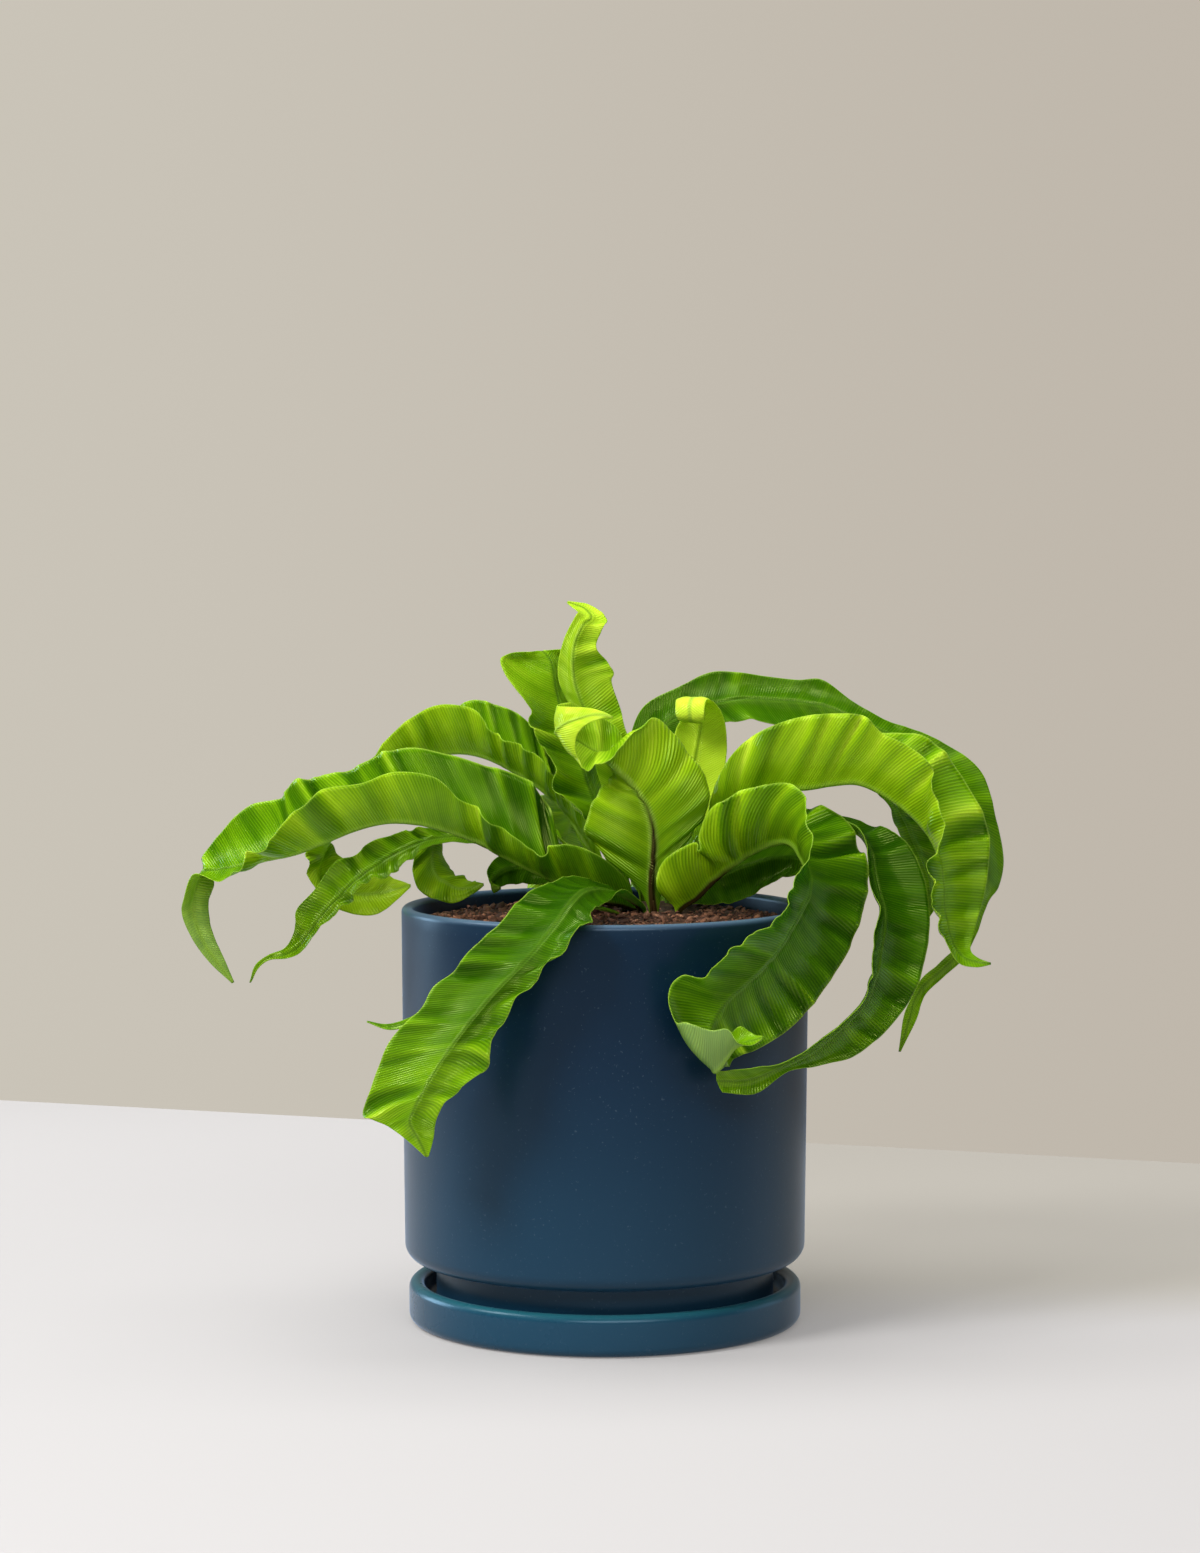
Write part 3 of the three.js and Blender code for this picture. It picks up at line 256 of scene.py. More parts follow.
        ((1.8, 244.5, -16), (22, 264, -19.5), (7, 248, -4)),
        ((-1.5, 247, -13), (13, 257.5, -25), (8, 254, -1)),
        ((-5, 249.5, -11), (4, 248.5, -27.5), (4, 261, 0)),
        ((-9, 252, -10), (-3, 242.8, -27.5), (-3, 265, -2)),
        ((-14, 254.8, -10.5), (-8.3, 241.7, -26), (-10, 268.7, -4)),
        ((-18.3, 256, -13), (-11.2, 244.5, -25), (-15.5, 271, -7.5)),
        ((-21.3, 257.8, -17), (-12.7, 250.5, -25), (-20.6, 269.5, -13)),
        ((-18.2, 260.8, -20.5), (-12.4, 256, -25.5), (-18.5, 269, -18)),
        ((-12.8, 263, -22.5), (-9.2, 260.4, -25), (-12.5, 268.8, -20.5)),
        ((-6.5, 264.9, -23), (-4, 263, -24.5), (-5.8, 268.2, -21.5)),
        ((0, 265, -23), (0.5, 264, -23.5), (0.3, 266.2, -22.5)),
        ((3.2, 264, -23), (3.1, 263.8, -23.1), (3.3, 264.2, -22.9)),
    ],
    "frond_young_curl": [
        ((28, 181, 9), (26.5, 181, 9), (29.5, 181, 9)),
        ((31, 200, 15), (27, 201, 13), (35, 200, 13)),
        ((35, 220, 18), (28, 222, 15), (44, 219, 15)),
        ((38, 238, 19), (29, 240, 15.5), (51.5, 237.5, 14.5)),
        ((40.3, 250, 18.5), (29.8, 253, 15.5), (53, 249, 13.5)),
        ((41.8, 258.5, 17.5), (31, 259, 16), (52.8, 259, 12)),
        ((42.3, 265, 15.5), (33, 264, 16), (51.3, 265.5, 9.5)),
        ((41.2, 270.5, 12), (32.5, 269.5, 14.5), (48, 270.3, 7)),
        ((38.8, 272.6, 7.8), (31.3, 271.9, 10.8), (45, 272.3, 3.8)),
        ((37.3, 270.2, 3.8), (30.6, 269.6, 7.2), (43.6, 270, 0)),
        ((37.2, 265.3, 2.6), (31, 265.2, 6), (43.3, 265, -1)),
        ((37.8, 262.6, 6), (32.6, 263, 9.2), (43, 262.4, 2.4)),
        ((38.3, 264.6, 9.2), (34.2, 264.9, 11.4), (42.4, 264.3, 6.2)),
        ((38.5, 268, 8.2), (35.5, 268.1, 9.8), (41.6, 267.9, 6)),
        ((38.7, 268.6, 5.6), (37.9, 268.6, 6), (39.5, 268.6, 5.2)),
    ],
    "frond_right_arch": [
        ((27, 180.5, 4), (26, 181, 6), (28.5, 181, 2)),
        ((33, 198, 2), (28, 199, 7), (37, 202, -2)),
        ((41, 213, 0), (39, 214, 8), (43.5, 218, -4)),
        ((51, 224, -3), (51, 230, 11), (48.5, 236, -7)),
        ((62, 231, -6), (62, 246, 16), (58, 251, -12)),
        ((74, 233.5, -7), (75, 254, 17), (70, 259.3, -15)),
        ((87, 233.2, -8), (88, 259, 16), (85, 264.5, -17)),
        ((99, 235, -9), (99, 261.5, 15), (99, 266, -18)),
        ((110, 235.5, -10), (110, 261, 14), (113, 265, -18)),
        ((120, 231.5, -10), (121, 257.5, 13), (120.5, 257.8, -19)),
        ((129, 225.5, -11), (133, 257.5, 11), (132, 252, -20)),
        ((136.5, 219, -12), (143, 254, 9), (142, 243.5, -21)),
        ((142.5, 211, -12), (153, 243, 7), (143.5, 231, -23)),
        ((146.5, 202, -13), (161.5, 229, 4), (148.3, 219, -26)),
        ((148, 192, -14), (167.5, 216, 1), (144.5, 208, -28)),
        ((148.5, 182, -15), (168, 203, -2), (142.8, 195, -28)),
        ((150, 173, -16), (166, 187, -6), (143.5, 184, -27)),
        ((152.5, 165, -17), (162, 172, -11), (147, 172, -25)),
        ((156.5, 159.5, -20), (160, 163, -16), (153.5, 157.8, -23)),
        ((162.5, 157.2, -21.5), (163.2, 159, -20), (162, 154.8, -23)),
        ((169, 156.3, -21), (169, 156.7, -21), (169, 155.9, -21)),
    ],
    "frond_right_sweep": [
        ((32, 180, -9), (33, 181, -7), (30.5, 180.5, -11.5)),
        ((40, 186, -11), (43, 191, -3), (22.5, 190.5, -19)),
        ((46, 192, -12), (51, 198, 0), (26, 202, -21)),
        ((51, 196.5, -13), (57, 205, 7), (37, 209, -22)),
        ((55.5, 200, -14), (63, 210, 8), (41, 206.5, -24)),
        ((60, 203, -13.5), (69, 215, 8), (41, 213, -24)),
        ((65, 206, -15.5), (75, 219, 7), (46, 224, -27)),
        ((70.5, 208.5, -18), (81, 222, 5), (57, 231, -29)),
        ((76, 210, -21), (87, 224.5, 1), (70, 235, -31)),
        ((80.5, 209.5, -25), (94, 225, -4), (80, 235.3, -34)),
        ((84, 206.5, -31), (101, 223, -9), (87.3, 230.5, -41)),
        ((87, 201, -39), (107, 217, -15), (87.3, 222, -50)),
        ((89.5, 195, -48), (111, 208.5, -21), (90.6, 211, -59)),
        ((89.5, 187.5, -57), (115, 198, -28), (88, 201, -66)),
        ((86.5, 180, -64), (114.5, 186.5, -35), (82, 192.5, -74)),
        ((82, 172, -71), (111.5, 175, -43), (80, 183, -82)),
        ((76.5, 163, -77), (106.5, 162, -51), (74, 175, -89)),
        ((69.5, 154.5, -83), (99, 149.5, -60), (60.5, 166.5, -95)),
        ((61.5, 147, -88), (90, 137, -69), (49.5, 157, -99)),
        ((54, 140, -92), (79.5, 126.5, -78), (43, 150.3, -101)),
        ((48.5, 132, -95), (67.5, 119, -86), (33.5, 151, -102)),
        ((45.5, 122, -98), (57, 114.7, -91), (27.6, 143.5, -103)),
        ((46.5, 112.5, -102), (54.5, 111.5, -95.5), (30.5, 131, -106)),
        ((48.3, 108.6, -107), (53.5, 113.5, -101.5), (35.5, 130.5, -112)),
        ((52.5, 113.5, -110), (53, 121.5, -105.5), (46, 127, -114)),
        ((56.5, 119, -111.5), (58.5, 128.5, -107.5), (53.5, 127.5, -115.5)),
        ((61, 121.3, -112.5), (63, 126.5, -108.5), (58, 121.5, -117)),
        ((65.2, 122.6, -112.5), (66, 124.8, -110.6), (64, 120.3, -114.6)),
        ((69.6, 124, -112), (69.6, 124.4, -112), (69.6, 123.6, -112)),
    ],
    "frond_right_drape": [
        ((32, 181, 4), (31, 182, 6), (33, 182, 2)),
        ((40, 196, 6), (41, 200, 12), (42, 199, 0)),
        ((51, 208, 8), (52, 213, 17), (53, 211, 2)),
        ((64, 216, 11), (65, 221, 21), (66, 219, 6)),
        ((78, 218.5, 13), (79, 222.5, 22), (80, 222, 9)),
        ((92, 218.5, 10), (93, 222.5, 19), (93, 221.5, 6)),
        ((104, 216.5, 4), (106, 220.5, 14), (104, 219.5, 0)),
        ((112, 212.5, -3), (116, 217.3, 8), (110.5, 216, -8)),
        ((116.5, 205, -10), (124.5, 215, 2), (114.5, 208.5, -16)),
        ((118, 196.5, -17), (131, 210.5, -4), (115, 199, -22)),
        ((119.8, 188, -24), (136.5, 202, -10), (116.5, 189, -31)),
        ((122, 179, -30), (140.5, 190.5, -16), (120.3, 181.5, -38)),
        ((121.8, 170, -37), (142, 179, -22), (118.3, 171.5, -47)),
        ((120.3, 161, -42), (141.8, 168, -27), (117.3, 162, -51)),
        ((118.5, 151, -47), (139.5, 155.5, -33), (116.8, 152, -56)),
        ((115, 141.5, -52), (135.5, 143.5, -39), (114, 141.5, -60)),
        ((109, 133, -58), (129, 133.5, -46), (107.5, 133, -65)),
        ((100, 125, -64), (120, 123.5, -53), (98, 125.5, -71)),
        ((91, 117.5, -71), (108, 115, -61), (88, 118, -77)),
        ((83, 113, -77), (93.5, 111.3, -70), (78, 112.5, -83)),
        ((74, 109, -83), (80, 108.5, -79), (70, 111, -88)),
        ((62, 104.8, -89), (66, 99, -88), (60, 109.8, -93)),
        ((49, 104.5, -95), (51.5, 99.5, -94), (49, 108.7, -97)),
    ],
    "frond_right_far": [
        ((23, 181, 18), (21.5, 182, 20), (24.5, 182, 17)),
        ((19, 200, 26), (15.5, 201, 28), (22.5, 201, 24)),
        ((16, 220, 36), (11, 222, 39), (22, 218, 32)),
        ((14.5, 241, 47), (9.5, 246, 53), (22, 236, 41)),
        ((24, 259, 53), (16, 268, 58), (32, 252, 47)),
        ((38, 267.5, 54), (33, 278, 60), (44, 259, 48)),
        ((50, 271, 54), (46, 284, 60), (53, 262.3, 48)),
        ((62, 272.5, 54), (58, 284, 59), (64, 262.8, 47)),
        ((74, 272, 53), (70, 282.3, 58), (75, 261.3, 46)),
        ((86, 271, 52), (84, 280.7, 57), (87, 259, 45)),
        ((98, 268.5, 50), (95, 280.7, 55), (98, 256, 43)),
        ((110, 263.5, 47), (108, 271.4, 52), (110, 251, 41)),
        ((124, 257, 44), (123, 263, 49), (123, 244, 38)),
        ((138, 250, 41), (139, 257.5, 46), (136, 237, 35)),
        ((150, 242, 38), (154, 249.5, 43), (145, 228, 32)),
        ((159, 231, 34), (165, 239.5, 40), (151, 216, 29)),
        ((164.5, 218, 30), (170.5, 222, 36), (155, 204, 27)),
        ((167, 204, 28), (174.2, 203, 34), (157, 193, 25)),
        ((166.5, 192, 26), (172.5, 190.5, 32), (158, 183, 24)),
        ((163.5, 181, 24), (168, 184, 29), (158, 174, 22)),
        ((159.5, 171, 22), (162.5, 169, 25), (155.5, 168, 21)),
        ((154, 160, 20), (157, 158.5, 21), (152, 162, 19)),
        ((147.5, 153.5, 18), (149, 151, 19), (146, 156, 17)),
        ((140.5, 147.5, 16), (141.5, 144, 16.5), (139, 150, 15.5)),
        ((136, 141, 15), (138.8, 139, 15.5), (134.5, 141.5, 14.5)),
        ((133.5, 132, 14.5), (136.5, 131.5, 15), (131, 133, 14)),
        ((129.3, 117.5, 14), (129.7, 117.5, 14), (128.9, 117.5, 14)),
    ],
    "frond_right_back": [
        ((27.7, 182, 15), (26.8, 183, 18), (29.2, 182, 12)),
        ((42, 214, 22), (39, 220, 27), (46, 209, 18)),
        ((60, 237, 26), (58, 246, 32), (64, 228, 21)),
        ((80, 246, 27), (80, 254, 33), (82, 236.5, 21)),
        ((98, 245, 26), (100, 252, 32), (98, 238.5, 20)),
        ((112, 239, 25), (116, 245, 31), (110, 236, 19)),
        ((123, 231, 24), (128, 236, 30), (118, 232, 18)),
        ((130, 221, 23), (137, 226, 29), (124.5, 225, 18)),
        ((134.5, 211, 22), (142, 215, 28), (127.5, 215, 18)),
        ((138.5, 202, 21), (146, 204, 26), (132.5, 207.5, 17)),
        ((142, 193, 20), (148, 193, 24), (137.5, 199, 17)),
        ((142, 184, 19), (146.5, 184, 21), (138.5, 188, 17)),
        ((139, 173, 18), (139.5, 173, 18), (138.5, 173, 17.5)),
    ],
    "frond_right_low": [
        ((31, 181.5, 12), (30.5, 182, 15), (31.5, 181.5, 9)),
        ((40, 188, 17), (40, 196, 24), (39, 182.5, 9)),
        ((51, 195, 22), (52, 206, 30), (48, 182.5, 11)),
        ((63, 200, 26), (65, 211, 34), (57, 183.5, 14)),
        ((76, 203, 28), (78, 213, 36), (66, 187.5, 17)),
        ((88, 202, 28), (90, 211, 35), (74.5, 193, 19)),
        ((98, 197, 26), (101, 204, 32), (84, 195, 20)),
        ((104, 188, 23), (108, 192, 27), (94, 189, 19)),
        ((107, 177, 20), (107.5, 177, 21), (106.5, 177, 19)),
    ],
    "frond_front_drape": [
        ((16, 180, -12.5), (18, 180, -15), (14, 180.3, -11.5)),
        ((12, 184, -22), (15.5, 183.8, -26), (8, 186.5, -20)),
        ((5.5, 187.5, -36), (9, 188.8, -41), (0, 191, -33)),
        ((0, 189, -48), (5, 187.7, -53), (-9, 194, -43)),
        ((-5, 189.5, -60), (2, 184, -64), (-16.5, 194.8, -55)),
        ((-10, 188, -72), (-2, 182.3, -77), (-23, 192.3, -66)),
        ((-15, 183, -85), (-6.3, 179, -90), (-31, 189.3, -77)),
        ((-20, 175.5, -95), (-6, 174.5, -100), (-38.5, 183.5, -86)),
        ((-26, 167.5, -101), (-12, 172.8, -105), (-45, 175.5, -92)),
        ((-33, 159.5, -104), (-15.5, 166, -108), (-53, 168, -95)),
        ((-40, 152.3, -105), (-19, 160.5, -109), (-60, 161.5, -96)),
        ((-47, 145, -105), (-26, 157, -108), (-67, 152.5, -96)),
        ((-54, 137.2, -105), (-30, 148.5, -107), (-75.5, 146, -96)),
        ((-60.5, 129, -105), (-38, 142.5, -107), (-80.5, 137, -96)),
        ((-66.5, 121, -105), (-43, 133, -107), (-88, 130, -96)),
        ((-72, 113, -105), (-49.5, 124, -107), (-95, 121.5, -96)),
        ((-77, 105, -105), (-51, 112, -107), (-99.5, 111, -96)),
        ((-81.5, 97, -105), (-62, 102.5, -106.5), (-103, 101, -97)),
        ((-85, 90, -104), (-70, 95, -105.5), (-106.5, 89, -98)),
        ((-86, 86, -104), (-74.3, 87, -104), (-97, 85.3, -100)),
        ((-82, 78.5, -103.5), (-75.5, 79, -103), (-88, 79, -102)),
        ((-78.5, 70.8, -103), (-77.6, 71.2, -102.9), (-79.4, 71.2, -102.9)),
    ],
    "frond_front_tendril": [
        ((6, 178, -19), (7.2, 177.6, -19.8), (4.8, 178.4, -18.4)),
        ((-4, 181.5, -37), (-2, 180.8, -38.2), (-6, 182.2, -36)),
        ((-14, 184, -56), (-12, 183.2, -57.2), (-16, 184.8, -55)),
        ((-23, 183.5, -73), (-21, 182.8, -74.2), (-25, 184.2, -72)),
        ((-29, 180.5, -82), (-27, 179.8, -83.2), (-31, 181.2, -81)),
        ((-34, 173.5, -89), (-32, 172.8, -90.2), (-36, 174.2, -88)),
        ((-40, 164, -91), (-37.9, 162.9, -92.4), (-42.1, 165.1, -89.9)),
        ((-49, 154, -89), (-47.2, 152.2, -90.5), (-50.8, 155.8, -87.8)),
        ((-60, 145.5, -85), (-58.5, 143.4, -86.5), (-61.5, 147.6, -83.8)),
        ((-72, 138, -81), (-70.9, 136, -82.4), (-73.1, 140, -79.9)),
        ((-84, 131.5, -77), (-83.3, 129.8, -78.2), (-84.7, 133.2, -76)),
        ((-95, 128.5, -74), (-94.8, 127.2, -74.9), (-95.2, 129.8, -73.3)),
        ((-104.5, 131, -71), (-104.5, 130.8, -71.2), (-104.5, 131.2, -70.9)),
    ],
    "frond_back_middle": [
        ((24, 182, 28), (22, 183, 28), (26, 183, 28)),
        ((23.5, 201, 47), (16, 207, 44), (33, 206, 48)),
        ((25, 215, 68), (11, 225, 66), (42, 223, 68)),
        ((26, 221, 87), (10, 230, 87), (47, 228, 87)),
        ((26.5, 214, 105), (9, 220, 112), (48, 219, 110)),
        ((27.5, 196, 118), (11, 198, 128), (46, 198, 126)),
        ((28, 172, 123), (14, 170, 131), (42, 171, 130)),
        ((28, 150, 122), (27.5, 150, 122), (28.5, 150, 122)),
    ],
    "frond_back_left": [
        ((18, 184, 28), (16.5, 184.5, 28), (19.5, 184.5, 29)),
        ((6, 206, 46), (-2, 211, 42), (7.5, 211, 49)),
        ((-4, 222, 66), (-18, 230, 61), (0, 228, 72)),
        ((-12, 224, 86), (-29, 229, 81), (-4, 229, 92)),
        ((-17, 213, 104), (-34, 215, 103), (-8, 216, 111)),
        ((-20, 194, 116), (-34, 192, 119), (-10, 196, 123)),
        ((-20.5, 172, 121), (-30, 169, 124), (-13, 171, 126)),
        ((-20, 150, 120), (-20.4, 150, 120), (-19.6, 150, 120)),
    ],
    "frond_back_right": [
        ((30, 184, 22), (29, 185, 24), (31.5, 185, 21)),
        ((47, 208, 42), (41, 213, 49), (52, 212, 36)),
        ((66, 218, 60), (58, 223, 71), (73, 222, 52)),
        ((84, 216, 75), (77, 220, 87), (91, 219, 66)),
        ((97, 203, 86), (91, 203, 100), (104, 205, 77)),
        ((102, 186, 92), (97, 184, 104), (109, 186, 82)),
        ((102, 168, 93), (101.6, 168, 93.4), (102.4, 168, 92.6)),
    ],
}

# How young each frond is at its base, middle and tip: 0 is a dark mature blade, 1 a fresh one
YOUTH = {
    "frond_left_long": (0.06, 0.36, 0.46),
    "frond_left_high": (0.12, 0.46, 0.68),
    "frond_left_low": (0.42, 0.44, 0.56),
    "frond_left_hook": (0.3, 0.38, 0.42),
    "frond_left_curl": (0.14, 0.16, 0.26),
    "frond_tall": (0.5, 0.62, 0.88),
    "frond_upper_left": (0.3, 0.46, 0.62),
    # The front upright's base is darkest partly as painted shade beside its midrib
    "frond_front_upright": (0.0, 0.56, 0.96),
    "frond_young_curl": (1.0, 1.1, 0.95),
    "frond_right_arch": (0.42, 0.54, 0.46),
    "frond_right_sweep": (0.6, 0.08, 0.5),
    "frond_right_drape": (0.26, 0.03, 0.46),
    "frond_right_far": (0.06, 0.26, 0.5),
    "frond_right_back": (0.28, 0.3, 0.4),
    "frond_right_low": (0.24, 0.24, 0.3),
    "frond_front_drape": (0.0, 0.12, 0.62),
    "frond_front_tendril": (0.3, 0.35, 0.4),
    "frond_back_middle": (0.3, 0.38, 0.45),
    "frond_back_left": (0.3, 0.35, 0.4),
    "frond_back_right": (0.3, 0.38, 0.45),
}
# How strongly a frond is fluted: on its left half at the base and at the tip, the same on its
# right half, and the length of one flute. The others have EVEN_FLUTES.
FLUTES = {
    "frond_left_long": (1.5, 0.9, 1.0, 0.9, 14),
    "frond_left_high": (0.9, 0.9, 1.0, 0.9, 12),
    "frond_left_low": (1.6, 1.5, 1.8, 1.5, 11),
    "frond_tall": (0.5, 0.5, 1.5, 1.2, 15),
    "frond_upper_left": (1.1, 0.9, 0.5, 0.5, 17),
    "frond_front_upright": (1.0, 0.2, 1.4, 0.2, 11),
    "frond_young_curl": (0.4, 0.2, 0.4, 0.2, 14),
    "frond_right_arch": (1.1, 0.9, 1.0, 0.9, 13),
    "frond_right_sweep": (1.0, 0.8, 1.1, 0.0, 12),
    "frond_right_drape": (0.6, 0.5, 0.6, 0.4, 15),
    "frond_right_far": (0.4, 0.7, 0.4, 0.7, 17),
    "frond_right_low": (0.4, 0.4, 0.4, 0.4, 13),
    "frond_front_drape": (0.25, 0.6, 0.3, 0.9, 14),
}
EVEN_FLUTES = (1.0, 1.0, 1.0, 1.0, FLUTE_LENGTH)
# The length of one flute on the left half, where it isn't the same on both
LEFT_SPACING = {"frond_left_long": 23}
# How far the midrib stands out of the under side at the base, where that isn't KEEL_HEIGHT
KEEL = {"frond_front_upright": 1.9, "frond_right_sweep": 1.7}
# How strongly a painted sheen pales the under side at the very tip
SHEEN_TIP = {"frond_right_sweep": 0.75, "frond_left_long": 0.5}
# How far the brown stain runs up a midrib, where that isn't STAIN_REACH
STAIN_LENGTH = {
    "frond_front_upright": 21,
    "frond_right_sweep": 15,
    "frond_left_long": 15,
}
DARK_BLADES = {"frond_left_hook", "frond_right_low", "frond_right_drape", "frond_right_sweep"}
YOUNG_BLADES = {"frond_tall", "frond_young_curl", "frond_front_upright"}


# Leaf colours
UPPER_GREENS = [
    (0.0, (0.014, 0.060, 0.0006)),
    (0.3, (0.050, 0.155, 0.001)),
    (0.6, (0.18, 0.37, 0.003)),
    (1.0, (0.50, 0.68, 0.03)),
]
UNDER_GREENS = [
    (0.0, (0.05, 0.14, 0.002)),
    (0.3, (0.14, 0.30, 0.003)),
    (0.6, (0.32, 0.53, 0.006)),
    (1.0, (0.60, 0.76, 0.045)),
]
# The whitish green of a painted sheen at some tips of the under side
SHEEN_GREEN = (0.20, 0.30, 0.12)
EDGE_GREEN = (0.36, 0.55, 0.05)
RIB_GREEN = (0.24, 0.40, 0.04)
# Painted shade along the midrib's groove on the upper side
GROOVE_SHADE = (0.02, 0.075, 0.003)
STAIN_BROWN = (0.026, 0.007, 0.005)
DARK_GLOW = (0.14, 0.42, 0.001)
PALE_GLOW = (0.72, 0.95, 0.03)
STAIN_GLOW = (0.03, 0.008, 0.004)
GLEAM_TINT = (0.8, 1, 0.22, 1)
GLOW_SHARE = 0.32
MOST_STAIN = 0.97

# Glazes: two blues that drift into each other, the pot's kept dark partly as painted shade under
# the leaves, a paler one low down as a painted reflection of the floor, the colour of a painted
# highlight along the lip and rim, and how rough it is
POT_GLAZE = {
    "deep": (0.0006, 0.010, 0.027),
    "pale": (0.0011, 0.012, 0.032),
    "low": (0.0048, 0.028, 0.056),
    "edge": (0.045, 0.080, 0.12),
    "roughness": 0.34,
}
SAUCER_GLAZE = {
    "deep": (0.0055, 0.037, 0.070),
    "pale": (0.0075, 0.042, 0.078),
    "low": (0.007, 0.040, 0.075),
    "edge": (0.012, 0.085, 0.11),
    "roughness": 0.28,
}
FLECK_BLUE = (0.09, 0.13, 0.17)

# Soil and crown colours
SOIL_BROWNS = [
    (0.0, (0.012, 0.006, 0.004)),
    (0.35, (0.052, 0.022, 0.012)),
    (0.65, (0.13, 0.055, 0.028)),
    (1.0, (0.27, 0.135, 0.075)),
]
FIBRE_BROWNS = [
    (0.25, (0.008, 0.005, 0.003)),
    (0.55, (0.035, 0.020, 0.010)),
    (0.8, (0.085, 0.075, 0.025)),
]

# Stage and light
FLOOR_COLOUR = (0.270, 0.2615, 0.2585)
# Paler towards the back: painted light against the lamps' falloff
BACK_FLOOR_PAINTED_LIGHT = (0.305, 0.296, 0.293)
# Painted shadow of the pot and plant at the back on the right
FLOOR_PAINTED_SHADOW = (0.228, 0.214, 0.190)
FLOOR_CORNERS = [[-1400, -1100, 0], [1400, -1100, 0], [1400, 45, 0], [-1400, 980, 0]]
FLOOR_GLOW = 0.7
WALL_LEFT = (0.590, 0.552, 0.480)
WALL_RIGHT = (0.522, 0.474, 0.408)
FRONT_AMBIENT = 0.15
BACK_AMBIENT = 0.45
TOP_AMBIENT_SHARE = 0.3
PLANT_AIM = (0, 0, 150)
POT_AIM = (0, 0, 120)
BLUE_BOX = (0.55, 0.8, 1)
SENSOR_WIDTH = 36


# Mesh and noise helpers

def build_mesh(name, points, faces, material, attributes=None):
    """A smooth-shaded object from points in millimetres and faces of equal corner count."""
    faces = np.asarray(faces, dtype=np.int32)
    corners = faces.shape[1]
    mesh = bpy.data.meshes.new(name)
    mesh.vertices.add(len(points))
    mesh.vertices.foreach_set("co", (np.asarray(points) * MM).astype(np.float32).ravel())
    mesh.loops.add(faces.size)
    mesh.loops.foreach_set("vertex_index", faces.ravel())
    mesh.polygons.add(len(faces))
    mesh.polygons.foreach_set("loop_start", np.arange(0, faces.size, corners, dtype=np.int32))
    mesh.polygons.foreach_set("use_smooth", np.ones(len(faces), dtype=bool))
    mesh.update(calc_edges=True)
    for key, values in (attributes or {}).items():
        layer = mesh.attributes.new(key, "FLOAT", "POINT")
        layer.data.foreach_set("value", np.broadcast_to(values, len(points)).astype(np.float32).ravel())
    mesh.validate()
    mesh.materials.append(material)
    piece = bpy.data.objects.new(name, mesh)
    bpy.context.scene.collection.objects.link(piece)
    return piece


def place_piece(piece, slot, *nodes):
    """Fixes a finished piece to the one body and hides the nodes that it stands for; its slot, the name of
    its finish, is not used.
    """
    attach(piece, "root")
    if nodes:
        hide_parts(*nodes)
    return piece


def grid_faces(rows, columns):
    """Quads of a grid of points, row by row, that face along (column step) x (row step)."""
    index = np.arange(rows * columns).reshape(rows, columns)
    return np.stack([index[:-1, :-1], index[:-1, 1:], index[1:, 1:], index[1:, :-1]], -1).reshape(-1, 4)


def close_seams(piece):
    """Merges the points that a turned grid repeats at its seam and at its poles."""
    work = bmesh.new()
    work.from_mesh(piece.data)
    bmesh.ops.remove_doubles(work, verts=work.verts, dist=1e-6)
    work.to_mesh(piece.data)
    work.free()
    return piece


def soft_noise(x, y, wavelength, seed, waves=14):
    """Smooth noise from about -1 to 1: the sum of sine waves near one wavelength, each with a
    direction and a phase of its own, over the square root of their number."""
    random = np.random.default_rng(seed)
    total = np.zeros(np.broadcast(x, y).shape)
    for _ in range(waves):
        turn = random.uniform(0, 2 * math.pi)
        phase = random.uniform(0, 2 * math.pi)
        stretch = 2 * math.pi / (wavelength * random.uniform(0.7, 1.4))
        total += np.sin(stretch * (x * math.cos(turn) + y * math.sin(turn)) + phase)
    return total / math.sqrt(waves)


# Fronds

def unit(vectors):
    return vectors / np.maximum(np.linalg.norm(vectors, axis=-1, keepdims=True), 1e-9)


def place_points(points):
    """Points written as across, up and depth, at their places: each slides along its own line
    from the eye until its depth is right."""
    across, up, depth = np.moveaxis(np.asarray(points, dtype=float), -1, 0)
    share = depth / EYE_DISTANCE
    return np.stack([across * (1 + share), depth, up - (EYE_HEIGHT - up) * share], -1)


def blade_rails(rows):
    """The blade's three rails, midrib and both edges, with one more section sunk in the crown."""
    placed = place_points(rows)
    base = placed[0, 0]
    lean = ROOT_LEAN * (np.array([CROWN_X, CROWN_Y, 0]) - base) * [1, 1, 0]
    start = base + lean - [0, 0, ROOT_DEPTH] + ROOT_WIDTH * (placed[0] - base)
    return np.concatenate([start[None], placed])


def along_rails(rails, places):
    """The three points at each place, counted in sections, on the cubic through the four nearest
    sections: Catmull and Rom's curve, with the ends carried straight on."""
    last = len(rails) - 1
    padded = np.concatenate([[2 * rails[0] - rails[1]], rails, [2 * rails[-1] - rails[-2]]])
    places = np.clip(places, 0, last)
    i = np.minimum(places.astype(int), last - 1)
    f = (places - i)[:, None, None]
    a, b, c, d = padded[i], padded[i + 1], padded[i + 2], padded[i + 3]
    bend = (2 * a - 5 * b + 4 * c - d) * f ** 2 + (3 * b - a - 3 * c + d) * f ** 3
    return 0.5 * (2 * b + (c - a) * f + bend)


